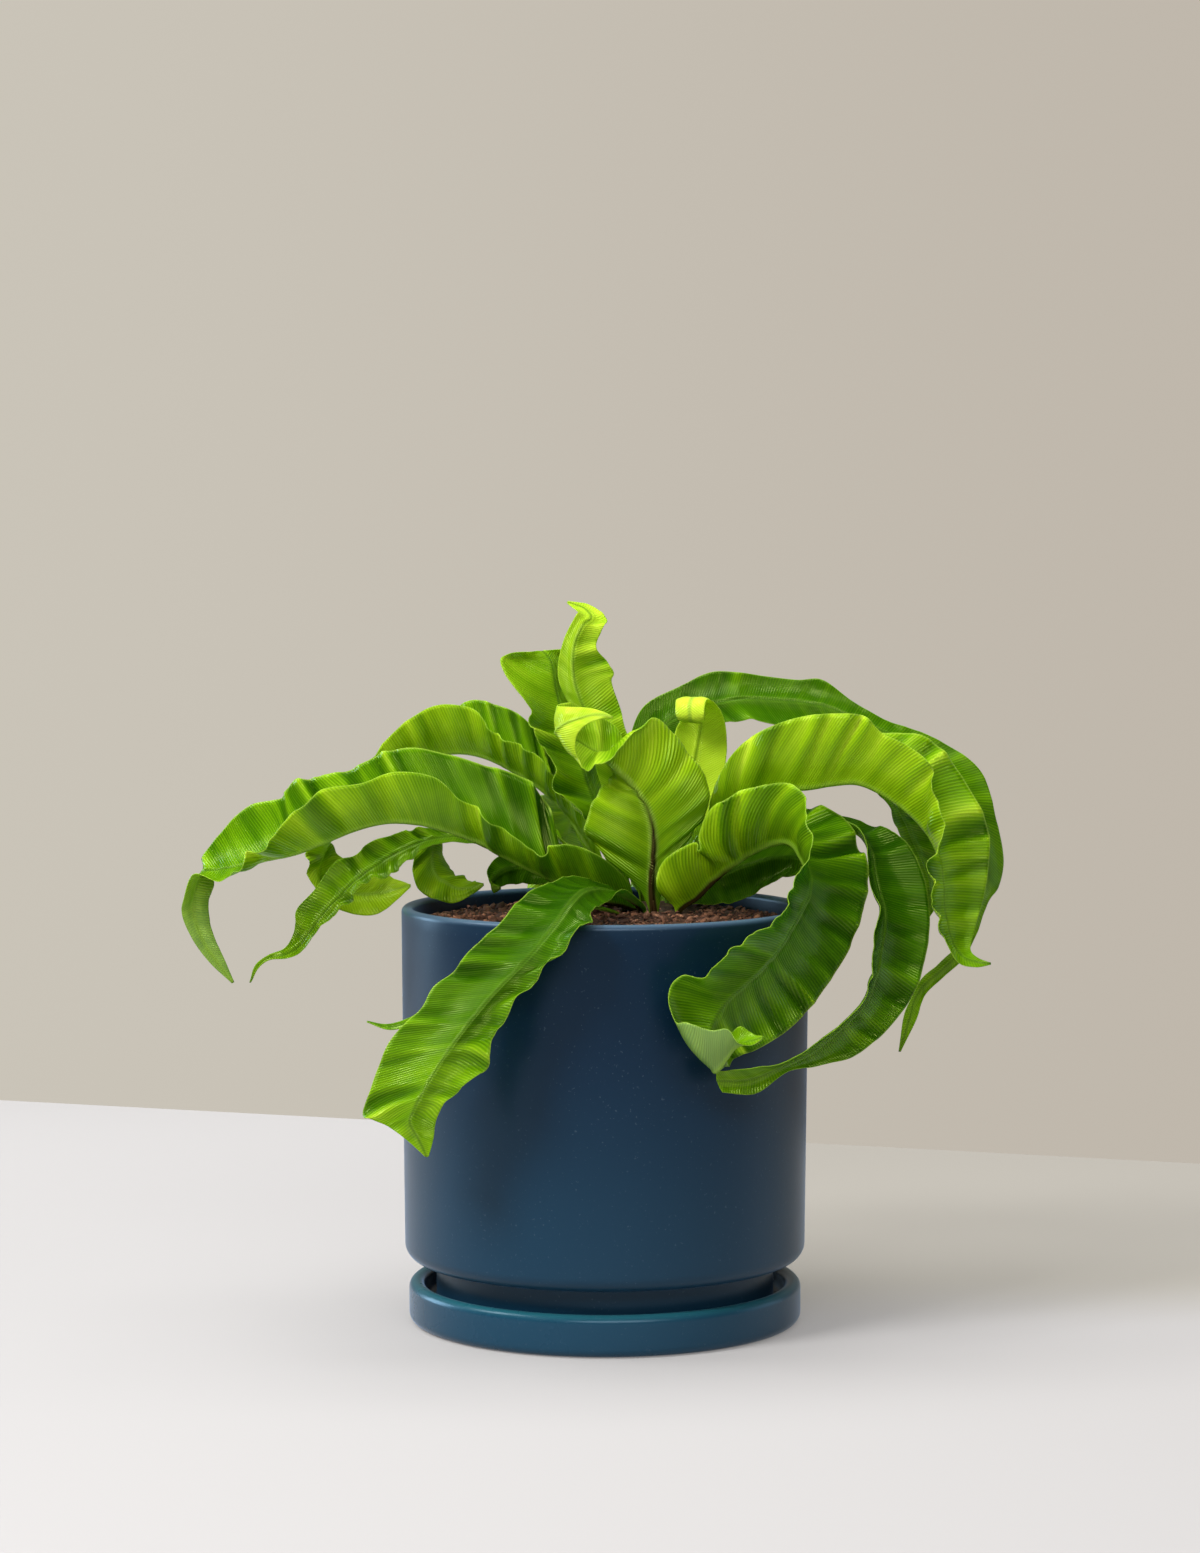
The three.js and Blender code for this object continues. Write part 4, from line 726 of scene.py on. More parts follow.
def blade_stations(rails):
    """Places along the rails, evenly spaced by the mean length of the three plus a share for each
    section, and the length of the midrib up to each place."""
    places = np.linspace(0, len(rails) - 1, MEASURING_STEPS * (len(rails) - 1) + 1)
    steps = np.linalg.norm(np.diff(along_rails(rails, places), axis=0), axis=2)
    measure = np.concatenate([[0], np.cumsum(steps.mean(axis=1) + ROW_SHARE / MEASURING_STEPS)])
    length = np.concatenate([[0], np.cumsum(steps[:, 0])])
    count = int(measure[-1] / STATION_STEP)
    chosen = np.interp(np.linspace(0, measure[-1], count), measure, places)
    return chosen, np.interp(chosen, places, length)


def blade_columns():
    """Shares of the way from the midrib to an edge, from -1 to 1, closer together at the midrib."""
    even = np.linspace(-1, 1, COLUMNS)
    return np.sign(even) * np.abs(even) ** COLUMN_CROWDING


def flutes(along, reach, share, half, spacing, seed):
    """The height of the blade's flutes: broad ones, 0.85 sin(p), with narrow creases on them,
    0.9 (0.5 + 0.5 cos(1.7 p))^3, that run out from the midrib and forward to the edge, and whose
    length and height drift along the blade. They rise as share ^ FLUTE_RISE from the midrib, and
    fade where the blade is narrow and at its foot."""
    random = np.random.default_rng(seed)
    drift, sway, side = random.uniform(0, 2 * math.pi, 3)
    front = along - FLUTE_SLANT * reach
    phase = 2 * math.pi * front / spacing
    phase = phase + 1.5 * np.sin(front / 19 + drift) + 0.9 * np.sin(front / 7.7 + sway)
    height = (0.68 + 0.32 * np.sin(front / 15.5 + side)) * (0.8 + 0.3 * np.sin(front / 5.3 + drift))
    wave = 0.85 * np.sin(phase) + 0.9 * (0.5 + 0.5 * np.cos(1.7 * phase)) ** 3 - 0.25
    fade = np.clip(half / FLUTED_WIDTH, 0, 1) ** 1.3 * np.clip((along - 6) / 30, 0, 1)
    return FLUTE_HEIGHT * height * fade * share ** FLUTE_RISE * wave


def blade_grid(name, rows):
    """The blade's middle surface and what the finish reads from it. A point is midrib + share x
    (edge - midrib), less a bow of BLADE_BOW x width x sin(pi x share), plus flutes."""
    rails = blade_rails(rows)
    places, along = blade_stations(rails)
    middle, left, right = np.moveaxis(along_rails(rails, places), 1, 0)
    forward = unit(np.gradient(middle, axis=0))
    across = blade_columns()
    share = np.abs(across)[None, :]
    left_half = across[None, :, None] < 0
    half = np.where(left_half, (left - middle)[:, None], (right - middle)[:, None])
    up = np.cross(forward[:, None], half) * np.where(left_half, 1, -1)
    width = np.linalg.norm(half, axis=2)
    reach = share * width
    sheet = middle[:, None] + share[..., None] * half
    sheet = sheet - unit(up) * (BLADE_BOW * width * np.sin(math.pi * share))[..., None]
    seed = sum(map(ord, name))
    left_base, left_tip, right_base, right_tip, spacing = FLUTES.get(name, EVEN_FLUTES)
    left_spacing = LEFT_SPACING.get(name, spacing)
    way = (along / along[-1])[:, None]
    stretch = along[:, None]
    left_wave = flutes(stretch, reach, share, width, left_spacing, seed)
    right_wave = flutes(stretch, reach, share, width, spacing, seed + 1)
    wave = np.where(
        across[None, :] < 0,
        (left_base + (left_tip - left_base) * way) * left_wave,
        (right_base + (right_tip - right_base) * way) * right_wave,
    )
    sheet = sheet + sheet_normal(sheet) * wave[..., None]
    return sheet, along, across, reach, width, wave


def sheet_normal(sheet):
    """Unit normals on a sheet's upper side: (column step) x (row step)."""
    return unit(np.cross(np.gradient(sheet, axis=1), np.gradient(sheet, axis=0)))


def blade_shell(sheet, upper, under):
    """Points and faces of a closed shell: its upper side, its under side and the edge between."""
    stations, columns = sheet.shape[:2]
    offset = stations * columns
    faces = grid_faces(stations, columns)
    index = np.arange(offset).reshape(stations, columns)
    rim = np.concatenate([index[0, :-1], index[:-1, -1], index[-1, :0:-1], index[:0:-1, 0]])
    rim_next = np.roll(rim, -1)
    edge = np.stack([rim, rim + offset, rim_next + offset, rim_next], -1)
    points = np.concatenate([upper.reshape(-1, 3), under.reshape(-1, 3)])
    return points, np.concatenate([faces, faces[:, ::-1] + offset, edge])


def frond(name, rows, material):
    """A closed thin blade. Its upper face stands half the thickness above the middle surface, with
    a groove along the midrib, -exp(-(reach / GROOVE_WIDTH)^2), between two low ridges. Its under
    face lies as far below, with a round keel, exp(-(reach / (0.7 + 0.8 taper))^2). Groove, ridges
    and keel shrink towards the tip."""
    sheet, along, across, reach, width, wave = blade_grid(name, rows)
    normal = sheet_normal(sheet)
    way = (along / along[-1])[:, None]
    taper = 1 - TIP_TAPER * way
    thickness = BLADE_THICKNESS * (1 - EDGE_THINNING * np.abs(across)[None, :] ** 6)
    ridges = np.exp(-((reach - RIDGE_PLACE) / RIDGE_WIDTH) ** 2)
    groove = np.exp(-(reach / GROOVE_WIDTH) ** 2)
    relief = RIDGE_HEIGHT * taper * (ridges - 0.9 * groove)
    keel = KEEL.get(name, KEEL_HEIGHT) * taper * np.exp(-(reach / (0.7 + 0.8 * taper)) ** 2)
    upper = sheet + normal * (thickness / 2 + relief)[..., None]
    under = sheet - normal * (thickness / 2 + keel)[..., None]

    stain_length = 2 * STAIN_LENGTH.get(name, STAIN_REACH)
    stain = np.exp(-(reach / (1.15 * taper + 0.25)) ** 2) * np.exp(-(along[:, None] / stain_length) ** 2)
    fields = {
        "across": across,
        "vein": along[:, None] - VEIN_SLANT * reach,
        "rib": np.exp(-(reach / (0.6 + 1.5 * taper)) ** 4),
        # Where painted shade darkens the midrib's groove
        "groove": np.exp(-(reach / 0.55) ** 2),
        "stain": stain,
        # The flutes' height, which also paints light on their crests and shade in their valleys
        "flute": wave,
        "youth": np.interp(way, [0, 0.5, 1], YOUTH[name]),
        "fine": np.clip(width / 9, 0, 1) ** 2,
        # Where a painted sheen pales the tip's under side
        "tip_sheen": SHEEN_TIP.get(name, 0) * np.clip((way - 0.8) / 0.1, 0, 1),
    }
    both = {key: np.tile(np.broadcast_to(values, reach.shape).ravel(), 2) for key, values in fields.items()}
    both["under"] = np.repeat([0.0, 1.0], reach.size)
    points, faces = blade_shell(sheet, upper, under)
    piece = build_mesh(name.replace("frond_", "blade_"), points, faces, material, both)
    slot = "young_leaf" if name in YOUNG_BLADES else "dark_leaf" if name in DARK_BLADES else "leaf"
    return place_piece(piece, slot, name)


# Pot and saucer

def corner(radius, height, size, start, end, steps=14):
    """Points of a round corner about (radius, height), from one angle to another in degrees."""
    angle = np.radians(np.linspace(start, end, steps))
    return np.stack([radius + size * np.cos(angle), height + size * np.sin(angle)], -1)


def even_profile(stretches, step):
    """Stretches of points joined and filled in, so that no two neighbours lie over a step apart."""
    points = np.concatenate([np.atleast_2d(stretch) for stretch in stretches]).astype(float)
    gaps = np.linalg.norm(np.diff(points, axis=0), axis=1)
    counts = np.maximum(1, np.ceil(gaps / step).astype(int))
    runs = [np.linspace(a, b, n, endpoint=False) for a, b, n in zip(points[:-1], points[1:], counts)]
    return np.concatenate([*runs, points[-1:]])


def turned_piece(name, profile, material, unevenness, thin):
    """A surface of revolution: (radius, height) goes to (radius cos t, radius sin t, height), with
    the radius uneven by a fraction of a millimetre outside the middle, as thrown clay is. The
    attribute thin marks where a painted highlight lies, at the lip and the rim."""
    turn = np.linspace(0, 2 * math.pi, TURN_SIDES + 1)
    radius, height = profile[:, 0][:, None], profile[:, 1][:, None]
    wobble = unevenness * (np.sin(2 * turn + height / 60) + 0.6 * np.sin(3 * turn - height / 31))
    wobble = wobble * (radius > 40)
    wobble[:, -1] = wobble[:, 0]
    points = np.stack([
        (radius + wobble) * np.cos(turn),
        (radius + wobble) * np.sin(turn),
        height + 0 * turn,
    ], -1)
    points[:, -1] = points[:, 0]
    faces = grid_faces(len(profile), TURN_SIDES + 1)[:, ::-1]
    rim_highlight_field = {"thin": np.repeat(thin, TURN_SIDES + 1)}
    return close_seams(build_mesh(name, points.reshape(-1, 3), faces, material, rim_highlight_field))


def glazed_pot(material):
    """The pot: a straight body with a round lip, a recessed foot ring and a drain hole."""
    inner = POT_RADIUS - POT_WALL
    lip = POT_WALL / 2
    foot_bottom = SAUCER_FLOOR + CLEARANCE
    floor_top = POT_BODY_BOTTOM + POT_FLOOR
    underside = POT_BODY_BOTTOM - UNDERSIDE_RECESS
    body_bottom = POT_RADIUS - POT_TAPER
    profile = even_profile([
        [DRAIN_RADIUS, underside],
        corner(FOOT_RADIUS - FOOT_WIDTH - 2, underside - 2, 2, 90, 0, 5),
        corner(FOOT_RADIUS - FOOT_WIDTH + 2, foot_bottom + 2, 2, 180, 270, 6),
        corner(FOOT_RADIUS - 2, foot_bottom + 2, 2, -90, 0, 6),
        corner(FOOT_RADIUS + 2, POT_BODY_BOTTOM - 2, 2, 180, 90, 6),
        corner(body_bottom - BODY_CORNER, POT_BODY_BOTTOM + BODY_CORNER, BODY_CORNER, -90, 0),
        corner(POT_RADIUS - lip, POT_TOP - lip, lip, 0, 180, 18),
        corner(inner - 8, floor_top + 8, 8, 0, -90, 8),
        [DRAIN_RADIUS, floor_top],
        [DRAIN_RADIUS, underside],
    ], 5)
    height, radius = profile[:, 1], profile[:, 0]
    # Where the painted highlight runs along the lip
    thin = np.exp(-((height - POT_TOP) / 1.6) ** 2) * (radius > inner - 1)
    piece = turned_piece("glazed_pot", profile, material, 0.08, thin)
    return place_piece(piece, "pot_glaze", "pot")


def glazed_saucer(material):
    """The saucer: a low dish with a thick round rim."""
    rim = SAUCER_RIM / 2
    side = SAUCER_RADIUS - SAUCER_CORNER
    well = SAUCER_RADIUS - SAUCER_RIM - SAUCER_CORNER
    profile = even_profile([
        [0, 0],
        corner(side - 2, 2, 2, -90, -60, 3),
        corner(side, SAUCER_CORNER, SAUCER_CORNER, -60, 0, 6),
        corner(SAUCER_RADIUS - rim, SAUCER_HEIGHT - rim, rim, 0, 180, 20),
        corner(well, SAUCER_FLOOR + SAUCER_CORNER, SAUCER_CORNER, 0, -90, 8),
        [0, SAUCER_FLOOR],
    ], 5)
    height, radius = profile[:, 1], profile[:, 0]
    # Where the painted highlight runs along the rim
    thin = np.exp(-((height - SAUCER_HEIGHT) / 1.8) ** 2) * (radius > well)
    piece = turned_piece("glazed_saucer", profile, material, 0.06, thin)
    return place_piece(piece, "saucer_glaze", "saucer")


# Soil and crown

def soil_height(x, y):
    """A low mound, edge + mound x (1 - r^2), with lumps that fade out at the pot wall."""
    share = np.clip(np.hypot(x, y) / (POT_RADIUS - POT_WALL), 0, 1)
    lumps = SOIL_LUMP * np.sin(0.31 * x + 1.3 * np.sin(0.17 * y)) * np.cos(0.27 * y - 0.11 * x)
    crumbs = 0.45 * soft_noise(x, y, 7, 3) + 0.3 * soft_noise(x, y, 3, 4)
    return SOIL_EDGE + SOIL_MOUND * (1 - share ** 2) + (lumps + crumbs) * (1 - share ** 6) - SOIL_SINK


def soil_bed(material):
    """The soil's body: its crumbly top, then down inside the pot's wall and across its floor."""
    outer = POT_RADIUS - POT_WALL - CLEARANCE
    floor = POT_BODY_BOTTOM + POT_FLOOR + CLEARANCE
    sides = 256
    turn = np.linspace(0, 2 * math.pi, sides + 1)
    top_rings = np.linspace(0, outer, 76)[::-1]
    radius = np.concatenate([[0, outer - 9, outer], top_rings])[:, None]
    x, y = radius * np.cos(turn), radius * np.sin(turn)
    z = soil_height(x, y)
    z[:3] = np.array([floor, floor, floor + 9])[:, None]
    points = np.stack([x, y, z], -1)
    points[:, -1] = points[:, 0]
    faces = grid_faces(len(radius), sides + 1)[:, ::-1]
    piece = close_seams(build_mesh("soil_bed", points.reshape(-1, 3), faces, material, {"shade": 0.0}))
    return place_piece(piece, "soil", "soil")


def soil_chips(material):
    """Loose bark and peat: small twelve-cornered lumps, each flattened, turned at random, sunk in
    the soil's top, and given a shade of its own."""
    random = np.random.default_rng(11)
    golden = (1 + math.sqrt(5)) / 2
    corners = np.array([
        [-1, golden, 0], [1, golden, 0], [-1, -golden, 0], [1, -golden, 0],
        [0, -1, golden], [0, 1, golden], [0, -1, -golden], [0, 1, -golden],
        [golden, 0, -1], [golden, 0, 1], [-golden, 0, -1], [-golden, 0, 1],
    ]) / math.hypot(1, golden)
    triangles = np.array([
        [0, 11, 5], [0, 5, 1], [0, 1, 7], [0, 7, 10], [0, 10, 11], [1, 5, 9], [5, 11, 4],
        [11, 10, 2], [10, 7, 6], [7, 1, 8], [3, 9, 4], [3, 4, 2], [3, 2, 6], [3, 6, 8],
        [3, 8, 9], [4, 9, 5], [2, 4, 11], [6, 2, 10], [8, 6, 7], [9, 8, 1],
    ])
    outer = POT_RADIUS - POT_WALL - CHIP_MARGIN
    radius = outer * np.sqrt(random.uniform(0, 1, CHIPS))
    turn = random.uniform(0, 2 * math.pi, CHIPS)
    x, y = radius * np.cos(turn), radius * np.sin(turn)
    size = random.uniform(0.5, 1.0, CHIPS) + 1.5 * random.uniform(0, 1, CHIPS) ** 5
    shape = size[:, None] * np.stack([
        random.uniform(0.9, 1.9, CHIPS),
        random.uniform(0.6, 1.1, CHIPS),
        random.uniform(0.35, 0.8, CHIPS),
    ], -1)
    lumps = corners[None] * shape[:, None] * random.uniform(0.75, 1.2, (CHIPS, 12, 1))
    spin, tilt = random.uniform(0, 2 * math.pi, CHIPS), random.normal(0, 0.45, CHIPS)
    c, s, ct, st = np.cos(spin), np.sin(spin), np.cos(tilt), np.sin(tilt)
    turns = np.stack([
        np.stack([c * ct, -s, c * st], -1),
        np.stack([s * ct, c, s * st], -1),
        np.stack([-st, 0 * c, ct], -1),
    ], 1)
    lumps = np.einsum("nij,nkj->nki", turns, lumps)
    centres = np.stack([x, y, soil_height(x, y) + CHIP_LIFT * size], -1)
    points = (lumps + centres[:, None]).reshape(-1, 3)
    faces = (triangles[None] + 12 * np.arange(CHIPS)[:, None, None]).reshape(-1, 3)
    shade = np.repeat(random.uniform(0.1, 1, CHIPS), 12)
    piece = build_mesh("soil_chips", points, faces, material, {"shade": shade})
    return place_piece(piece, "soil")


def crown_base(material):
    """The crown: a short stump, radius x outline(height), with upright ridges and a scaly skin."""
    sides, levels = 160, 90
    turn = np.linspace(0, 2 * math.pi, sides + 1)
    way = np.linspace(0, 1, levels)[:, None]
    outline = np.interp(way, [0, 0.06, 0.3, 0.72, 0.88, 0.97, 1], [0, 0.6, 0.9, 1, 0.96, 0.8, 0])
    height = CROWN_TOP - CROWN_DEPTH * (1 - way) - CROWN_SINK
    scales = SCALE_HEIGHT * soft_noise(turn * CROWN_RADIUS, 2 * height, 3.2, 8)
    scales[:, -1] = scales[:, 0]
    radius = CROWN_RADIUS * outline * (1 + CROWN_RIDGE * np.cos(CROWN_RIDGES * turn)) + scales * outline
    x, y = CROWN_X + radius * np.cos(turn), CROWN_Y + radius * np.sin(turn)
    points = np.stack([x, y, height + 0 * turn], -1)
    points[:, -1] = points[:, 0]
    faces = grid_faces(levels, sides + 1)[:, ::-1]
    piece = close_seams(build_mesh("crown_base", points.reshape(-1, 3), faces, material))
    return place_piece(piece, "crown", "crown")


# Finishes

def new_material(name):
    """An empty material, its node tree and its output."""
    material = bpy.data.materials.new(name)
    material.use_nodes = True
    material.node_tree.nodes.clear()
    return material, material.node_tree, material.node_tree.nodes.new("ShaderNodeOutputMaterial")


def add_node(tree, kind, settings=None, **inputs):
    """A shader node with its settings and inputs. An input is a value or another node's socket,
    and its key is the socket's name with _ for a space, or in_0, in_1 ... for its number."""
    made = tree.nodes.new("ShaderNode" + kind)
    for key, value in (settings or {}).items():
        setattr(made, key, value)
    for key, value in inputs.items():
        socket = made.inputs[int(key[3:])] if key.startswith("in_") else made.inputs[key.replace("_", " ")]
        if isinstance(value, bpy.types.NodeSocket):
            tree.links.new(value, socket)
        else:
            socket.default_value = value
    return made


def attribute(tree, name):
    return add_node(tree, "Attribute", {"attribute_name": name}).outputs["Fac"]


def maths(tree, operation, *values):
    inputs = {f"in_{i}": value for i, value in enumerate(values)}
    return add_node(tree, "Math", {"operation": operation}, **inputs).outputs[0]


def add_share(tree, base, value, amount):
    """base + amount x value."""
    return maths(tree, "MULTIPLY_ADD", value, amount, base)


def remap(tree, value, low, high, to_low=0.0, to_high=1.0):
    """Takes low to to_low and high to to_high with a smooth step between them."""
    ends = {"From_Min": low, "From_Max": high, "To_Min": to_low, "To_Max": to_high}
    return add_node(tree, "MapRange", {"interpolation_type": "SMOOTHSTEP"}, Value=value, **ends).outputs[0]


def blend_colours(tree, share, first, second):
    node = add_node(tree, "Mix", {"data_type": "RGBA"})
    sockets = (node.inputs["Factor"], node.inputs[6], node.inputs[7])
    for socket, value in zip(sockets, (share, first, second)):
        if isinstance(value, bpy.types.NodeSocket):
            tree.links.new(value, socket)
        else:
            socket.default_value = value if isinstance(value, float) else (*value, 1)
    return node.outputs[2]


def colour_ramp(tree, value, stops):
    """A ramp through the stops, each a place and a colour."""
    node = add_node(tree, "ValToRGB", Fac=value)
    elements = node.color_ramp.elements
    while len(elements) < len(stops):
        elements.new(0.5)
    for element, (place, colour) in zip(elements, stops):
        element.position = place
        element.color = (*colour, 1)
    return node.outputs["Color"]


def noise(tree, scale, detail=3.0, roughness=0.5, stretch=(1, 1, 1)):
    """Noise on the object's own coordinates, which are metres, so a scale of 100 gives 10 mm."""
    where = add_node(tree, "TexCoord").outputs["Object"]
    mapped = add_node(tree, "Mapping", Vector=where, Scale=stretch).outputs[0]
    texture = add_node(tree, "TexNoise", Vector=mapped, Scale=scale, Detail=detail, Roughness=roughness)
    return texture.outputs["Fac"]


def frond_finish():
    """A glossy fern blade: fine veins that run out from the midrib, a paler under side, a bright
    thin edge, a dark midrib near the base, and light that glows through. Painted light and shade
    follow the flutes, painted shade darkens the midrib's groove on the upper side, and a painted
    sheen pales some tips of the under side."""
    material, tree, output = new_material("frond_blade")
    under = attribute(tree, "under")
    vein = attribute(tree, "vein")
    mottle = noise(tree, 55, 3.0)
    vein_wave = maths(tree, "SINE", maths(tree, "MULTIPLY", vein, 2 * math.pi / VEIN_SPACING))
    streak_place = maths(tree, "MULTIPLY", vein, 0.21)
    streaks = add_node(tree, "TexNoise", {"noise_dimensions": "1D"}, W=streak_place, Scale=1.0, Detail=3.0)
    tone = add_share(tree, attribute(tree, "youth"), maths(tree, "SUBTRACT", mottle, 0.5), 0.32)
    tone = add_share(tree, tone, maths(tree, "SUBTRACT", streaks.outputs["Fac"], 0.5), 0.3)
    # Painted light and shade: the blade is lighter where its flutes bulge up and darker where they dip, on
    # both sides
    tone = add_share(tree, tone, attribute(tree, "flute"), 0.15)
    tone = add_share(tree, tone, vein_wave, 0.09)

    upper_colour = colour_ramp(tree, tone, UPPER_GREENS)
    under_colour = colour_ramp(tree, tone, UNDER_GREENS)
    colour = blend_colours(tree, under, upper_colour, under_colour)
    # Painted sheen: the under side pales to a whitish green at some tips
    tip_sheen = maths(tree, "MULTIPLY", attribute(tree, "tip_sheen"), under)
    colour = blend_colours(tree, tip_sheen, colour, SHEEN_GREEN)
    away = maths(tree, "ABSOLUTE", attribute(tree, "across"))
    colour = blend_colours(tree, remap(tree, away, 0.972, 0.998, 0.0, 0.6), colour, EDGE_GREEN)
    rib = maths(tree, "MULTIPLY", attribute(tree, "rib"), remap(tree, under, 0, 1, 0.18, 0.7))
    colour = blend_colours(tree, rib, colour, RIB_GREEN)
    # Painted shade: a dark line along the midrib's groove on the upper side only
    groove = maths(tree, "MULTIPLY", attribute(tree, "groove"), remap(tree, under, 0, 1, 0.6, 0.0))
    colour = blend_colours(tree, groove, colour, GROOVE_SHADE)
    stain = maths(tree, "MULTIPLY", attribute(tree, "stain"), remap(tree, under, 0, 1, 0.35, 3.5))
    stain = maths(tree, "MINIMUM", stain, MOST_STAIN)
    colour = blend_colours(tree, stain, colour, STAIN_BROWN)

    height = add_share(tree, maths(tree, "MULTIPLY", vein_wave, 0.8), noise(tree, 900, 2.0), 0.2)
    relief = maths(tree, "MULTIPLY", attribute(tree, "fine"), 0.65)
    bump = add_node(tree, "Bump", Strength=relief, Distance=0.0002, Height=height)
    roughness = add_share(tree, remap(tree, under, 0, 1, 0.14, 0.18), mottle, 0.10)
    skin = add_node(tree, "BsdfPrincipled", Base_Color=colour, Roughness=roughness, Normal=bump.outputs[0])
    skin.inputs["Specular IOR Level"].default_value = 0.75
    skin.inputs["Specular Tint"].default_value = GLEAM_TINT
    glow_colour = blend_colours(tree, tone, DARK_GLOW, PALE_GLOW)
    glow_colour = blend_colours(tree, stain, glow_colour, STAIN_GLOW)
    glow = add_node(tree, "BsdfTranslucent", Color=glow_colour)
    both = add_node(tree, "MixShader", Fac=GLOW_SHARE, in_1=skin.outputs[0], in_2=glow.outputs[0])
    tree.links.new(both.outputs[0], output.inputs["Surface"])
    return material


def glaze_finish(name, deep, pale, low, edge, roughness):
    """Navy glaze: a slow drift between two blues, kept dark high up as painted shade under the
    leaves, paler low down as a painted reflection of the floor, a painted highlight along the lip
    and rim, a faint orange-peel skin and pin-sized flecks."""
    material, tree, output = new_material(name)
    colour = blend_colours(tree, remap(tree, noise(tree, 14, 3.0), 0.3, 0.7), deep, pale)
    place = add_node(tree, "SeparateXYZ", Vector=add_node(tree, "TexCoord").outputs["Object"])
    # Painted reflection of the floor: paler low down, while the top keeps its darker painted shade
    colour = blend_colours(tree, remap(tree, place.outputs[2], 0.14, 0.03), colour, low)
    # Painted highlight along the lip and rim
    colour = blend_colours(tree, attribute(tree, "thin"), colour, edge)
    flecks = remap(tree, noise(tree, 900, 1.0), 0.70, 0.76, 0.0, 0.25)
    colour = blend_colours(tree, flecks, colour, FLECK_BLUE)
    peel = add_node(tree, "Bump", Strength=0.05, Distance=0.0003, Height=noise(tree, 420, 2.0))
    rough = add_share(tree, roughness - 0.05, noise(tree, 35, 4.0), 0.10)
    skin = add_node(tree, "BsdfPrincipled", Base_Color=colour, Roughness=rough, Normal=peel.outputs[0])
    skin.inputs["Specular IOR Level"].default_value = 0.4
    skin.inputs["Specular Tint"].default_value = (0.6, 0.8, 1, 1)
    skin.inputs["Sheen Weight"].default_value = 0.3
    skin.inputs["Sheen Roughness"].default_value = 0.25
    skin.inputs["Sheen Tint"].default_value = (0.35, 0.6, 1, 1)
    tree.links.new(skin.outputs[0], output.inputs["Surface"])
    return material


def grainy_skin(made, tone, grain, stops, strength, distance, roughness):
    """Completes a new material with a matte skin: the ramp's colour at the tone, and a bump of the
    grain."""
    material, tree, output = made
    colour = colour_ramp(tree, tone, stops)
    bump = add_node(tree, "Bump", Strength=strength, Distance=distance, Height=grain)
    skin = add_node(tree, "BsdfPrincipled", Base_Color=colour, Roughness=roughness, Normal=bump.outputs[0])
    tree.links.new(skin.outputs[0], output.inputs["Surface"])
    return material


def soil_finish():
    """Damp bark and peat: red-brown to near black from lump to lump, matte and gritty."""
    made = new_material("bark_soil")
    tree = made[1]
    grit = noise(tree, 500, 5.0, 0.65)
    tone = add_share(tree, maths(tree, "MULTIPLY", attribute(tree, "shade"), 0.62), grit, 0.4)
    tone = add_share(tree, tone, maths(tree, "SUBTRACT", noise(tree, 130, 3.0), 0.5), 0.35)
    return grainy_skin(made, tone, grit, SOIL_BROWNS, 0.6, 0.0006, 0.86)


def crown_finish():
    """The crown's dark chaffy fibre, streaked upwards."""
    made = new_material("crown_fibre")
    fibre = noise(made[1], 420, 4.0, 0.6, (1, 1, 0.18))
    return grainy_skin(made, fibre, fibre, FIBRE_BROWNS, 0.7, 0.0008, 0.8)


def stage_finish():
    """The pale matte surface that the pot stands on, paler towards the back as painted light against
    the lamps' falloff, and darker at the back on the right under a painted shadow of the pot and
    plant. It glows a little, so that its shadows stay as faint as the photograph's."""
    material, tree, output = new_material("stage_floor")
    place = add_node(tree, "SeparateXYZ", Vector=add_node(tree, "TexCoord").outputs["Object"])
    across, depth = place.outputs[0], place.outputs[1]
    # Painted light: paler towards the back, against the lamps' falloff
    colour = blend_colours(tree, remap(tree, depth, 0.05, 0.6), FLOOR_COLOUR, BACK_FLOOR_PAINTED_LIGHT)
    # Painted shadow of the pot and plant, falling back and to the right
    shade = maths(tree, "MULTIPLY", remap(tree, across, -0.05, 0.08), remap(tree, depth, -0.03, 0.09))
    colour = blend_colours(tree, shade, colour, FLOOR_PAINTED_SHADOW)
    skin = add_node(tree, "BsdfPrincipled", Base_Color=colour, Roughness=0.9, Emission_Color=colour)
    skin.inputs["Emission Strength"].default_value = FLOOR_GLOW
    tree.links.new(skin.outputs[0], output.inputs["Surface"])
    return material


# Stage, light and camera

def stage_floor():
    """A pale floor whose far edge runs behind the plant, nearer on the right than on the left."""
    build_mesh("stage_floor", FLOOR_CORNERS, [[0, 1, 2, 3]], stage_finish())


def area_light(name, place, aim, width, height, power, colour=(1, 1, 1), glossy=True, diffuse=True):
    """A soft box at a place, turned to face its aim. Without glossy it makes no highlight, and
    without diffuse it makes nothing else."""
    lamp = bpy.data.lights.new(name, "AREA")
    lamp.shape = "RECTANGLE"
    lamp.size = width * MM
    lamp.size_y = height * MM
    lamp.energy = power
    lamp.color = colour
    holder = bpy.data.objects.new(name, lamp)
    holder.visible_glossy = glossy
    holder.visible_diffuse = diffuse
    bpy.context.scene.collection.objects.link(holder)
    holder.location = np.array(place) * MM
    direction = Vector(aim) - Vector(place)
    holder.rotation_euler = direction.to_track_quat("-Z", "Y").to_euler()


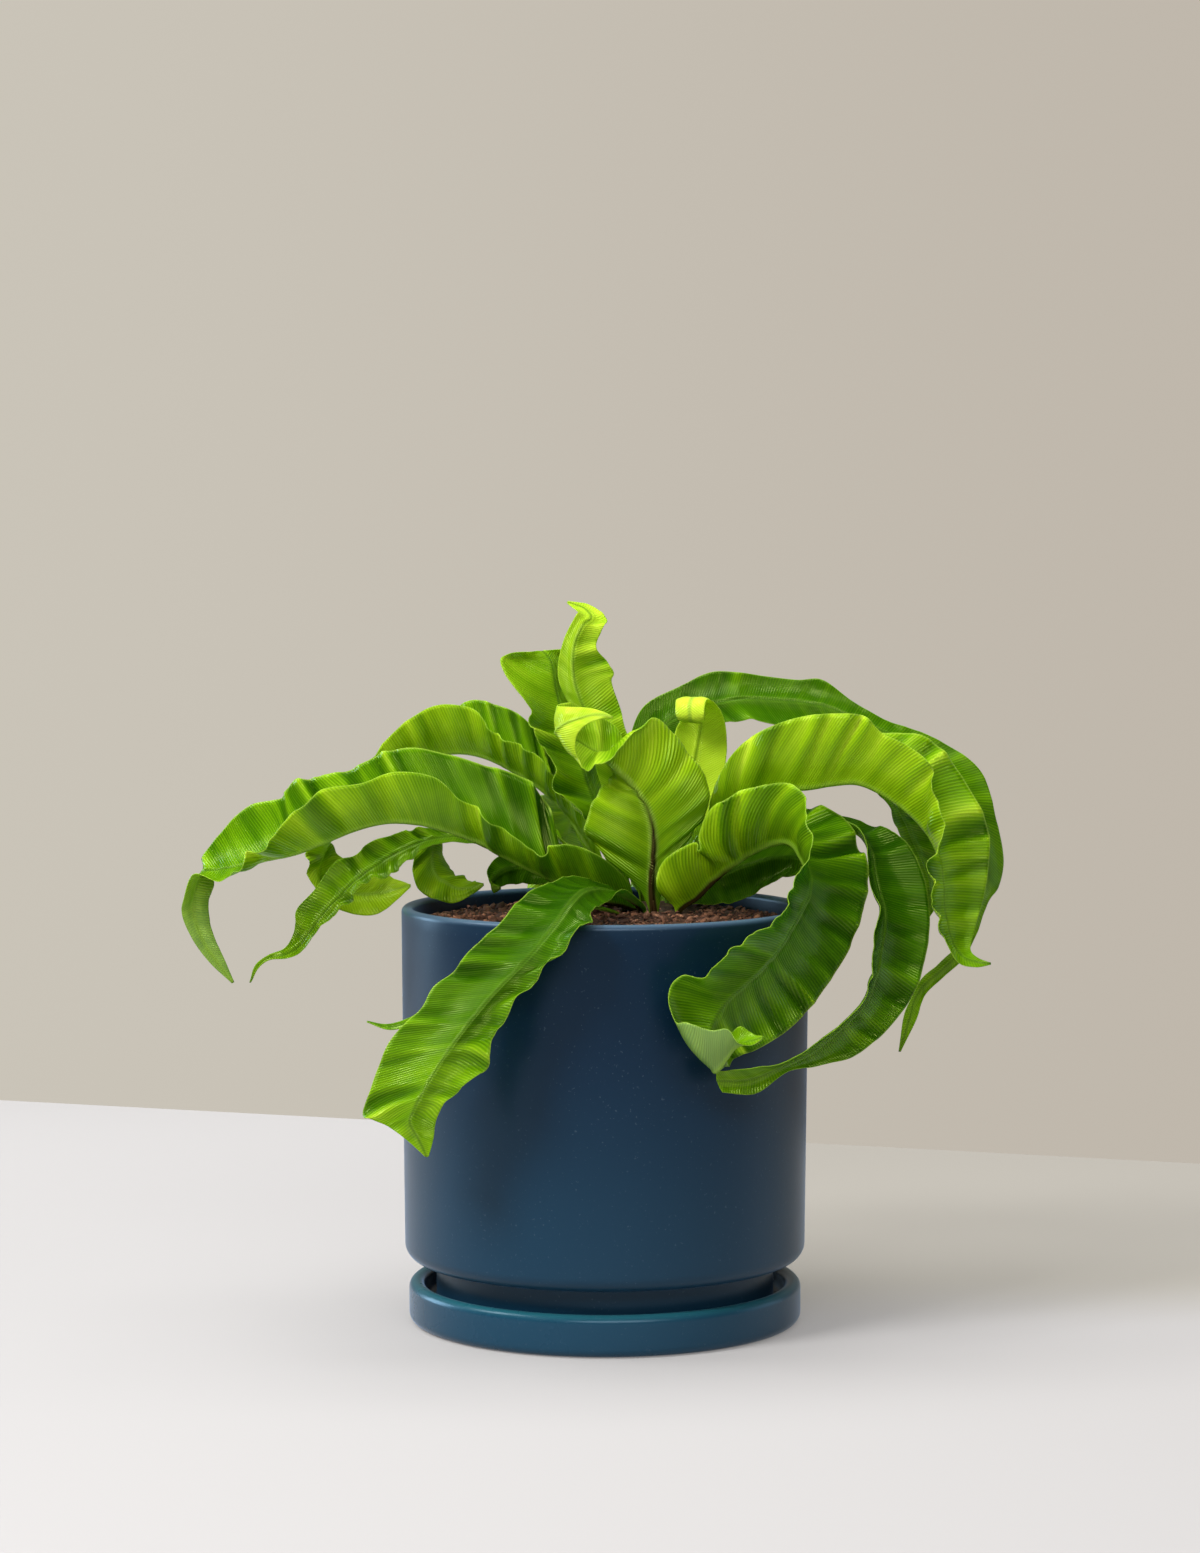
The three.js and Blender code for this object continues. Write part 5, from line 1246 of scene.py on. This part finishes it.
def studio():
    """A warm grey wall that lights mostly from behind, and six soft boxes: a wide one above the
    camera, two that make no highlight, high at the front left and overhead, a small one high on
    the left, and two blue ones behind at the sides that make only highlights."""
    world = bpy.data.worlds.new("studio")
    world.use_nodes = True
    tree = world.node_tree
    sky = tree.nodes["Background"]
    aim = add_node(tree, "SeparateXYZ", Vector=add_node(tree, "TexCoord").outputs["Generated"])
    wall = blend_colours(tree, remap(tree, aim.outputs[0], -0.2, 0.2), WALL_LEFT, WALL_RIGHT)
    tree.links.new(wall, sky.inputs["Color"])
    seen = add_node(tree, "LightPath").outputs["Is Camera Ray"]
    wall_light = remap(tree, aim.outputs[1], -0.3, 0.5, FRONT_AMBIENT, BACK_AMBIENT)
    overhead = remap(tree, aim.outputs[2], 0.3, 0.8, 1.0, TOP_AMBIENT_SHARE)
    around = maths(tree, "MULTIPLY", wall_light, overhead)
    strength = add_share(tree, seen, around, maths(tree, "SUBTRACT", 1.0, seen))
    tree.links.new(strength, sky.inputs["Strength"])
    bpy.context.scene.world = world
    area_light("front_box", (200, -1900, 1250), PLANT_AIM, 1700, 650, 24)
    area_light("key_box", (-1200, -1000, 1500), PLANT_AIM, 600, 600, 46, glossy=False)
    area_light("top_box", (0, 150, 1700), PLANT_AIM, 1400, 1400, 36, glossy=False)
    area_light("left_top_box", (-1300, 0, 1650), PLANT_AIM, 700, 700, 14)
    area_light("left_box", (-1400, 700, 450), POT_AIM, 700, 700, 12, colour=BLUE_BOX, diffuse=False)
    area_light("right_box", (1450, 350, 350), POT_AIM, 900, 700, 2, colour=BLUE_BOX, diffuse=False)
    bpy.context.scene.view_settings.view_transform = "Standard"


def photo_camera():
    """The camera that the rows of points line up from."""
    camera = bpy.data.cameras.new("photo_camera")
    camera.sensor_width = SENSOR_WIDTH
    camera.lens = SENSOR_WIDTH * FOCAL_PIXELS / PHOTO_HEIGHT
    camera.clip_end = 20
    holder = bpy.data.objects.new("photo_camera", camera)
    bpy.context.scene.collection.objects.link(holder)
    holder.location = (EYE_ACROSS * MM, -EYE_DISTANCE * MM, EYE_HEIGHT * MM)
    holder.rotation_euler = (math.radians(90 - EYE_PITCH), 0, 0)
    bpy.context.scene.camera = holder


photo_camera()
studio()
stage_floor()

glazed_pot(glaze_finish("pot_glaze", **POT_GLAZE))
glazed_saucer(glaze_finish("saucer_glaze", **SAUCER_GLAZE))
bark_soil = soil_finish()
soil_bed(bark_soil)
soil_chips(bark_soil)
crown_base(crown_finish())
blade = frond_finish()
for frond_name, frond_rows in FRONDS.items():
    frond(frond_name, frond_rows, blade)
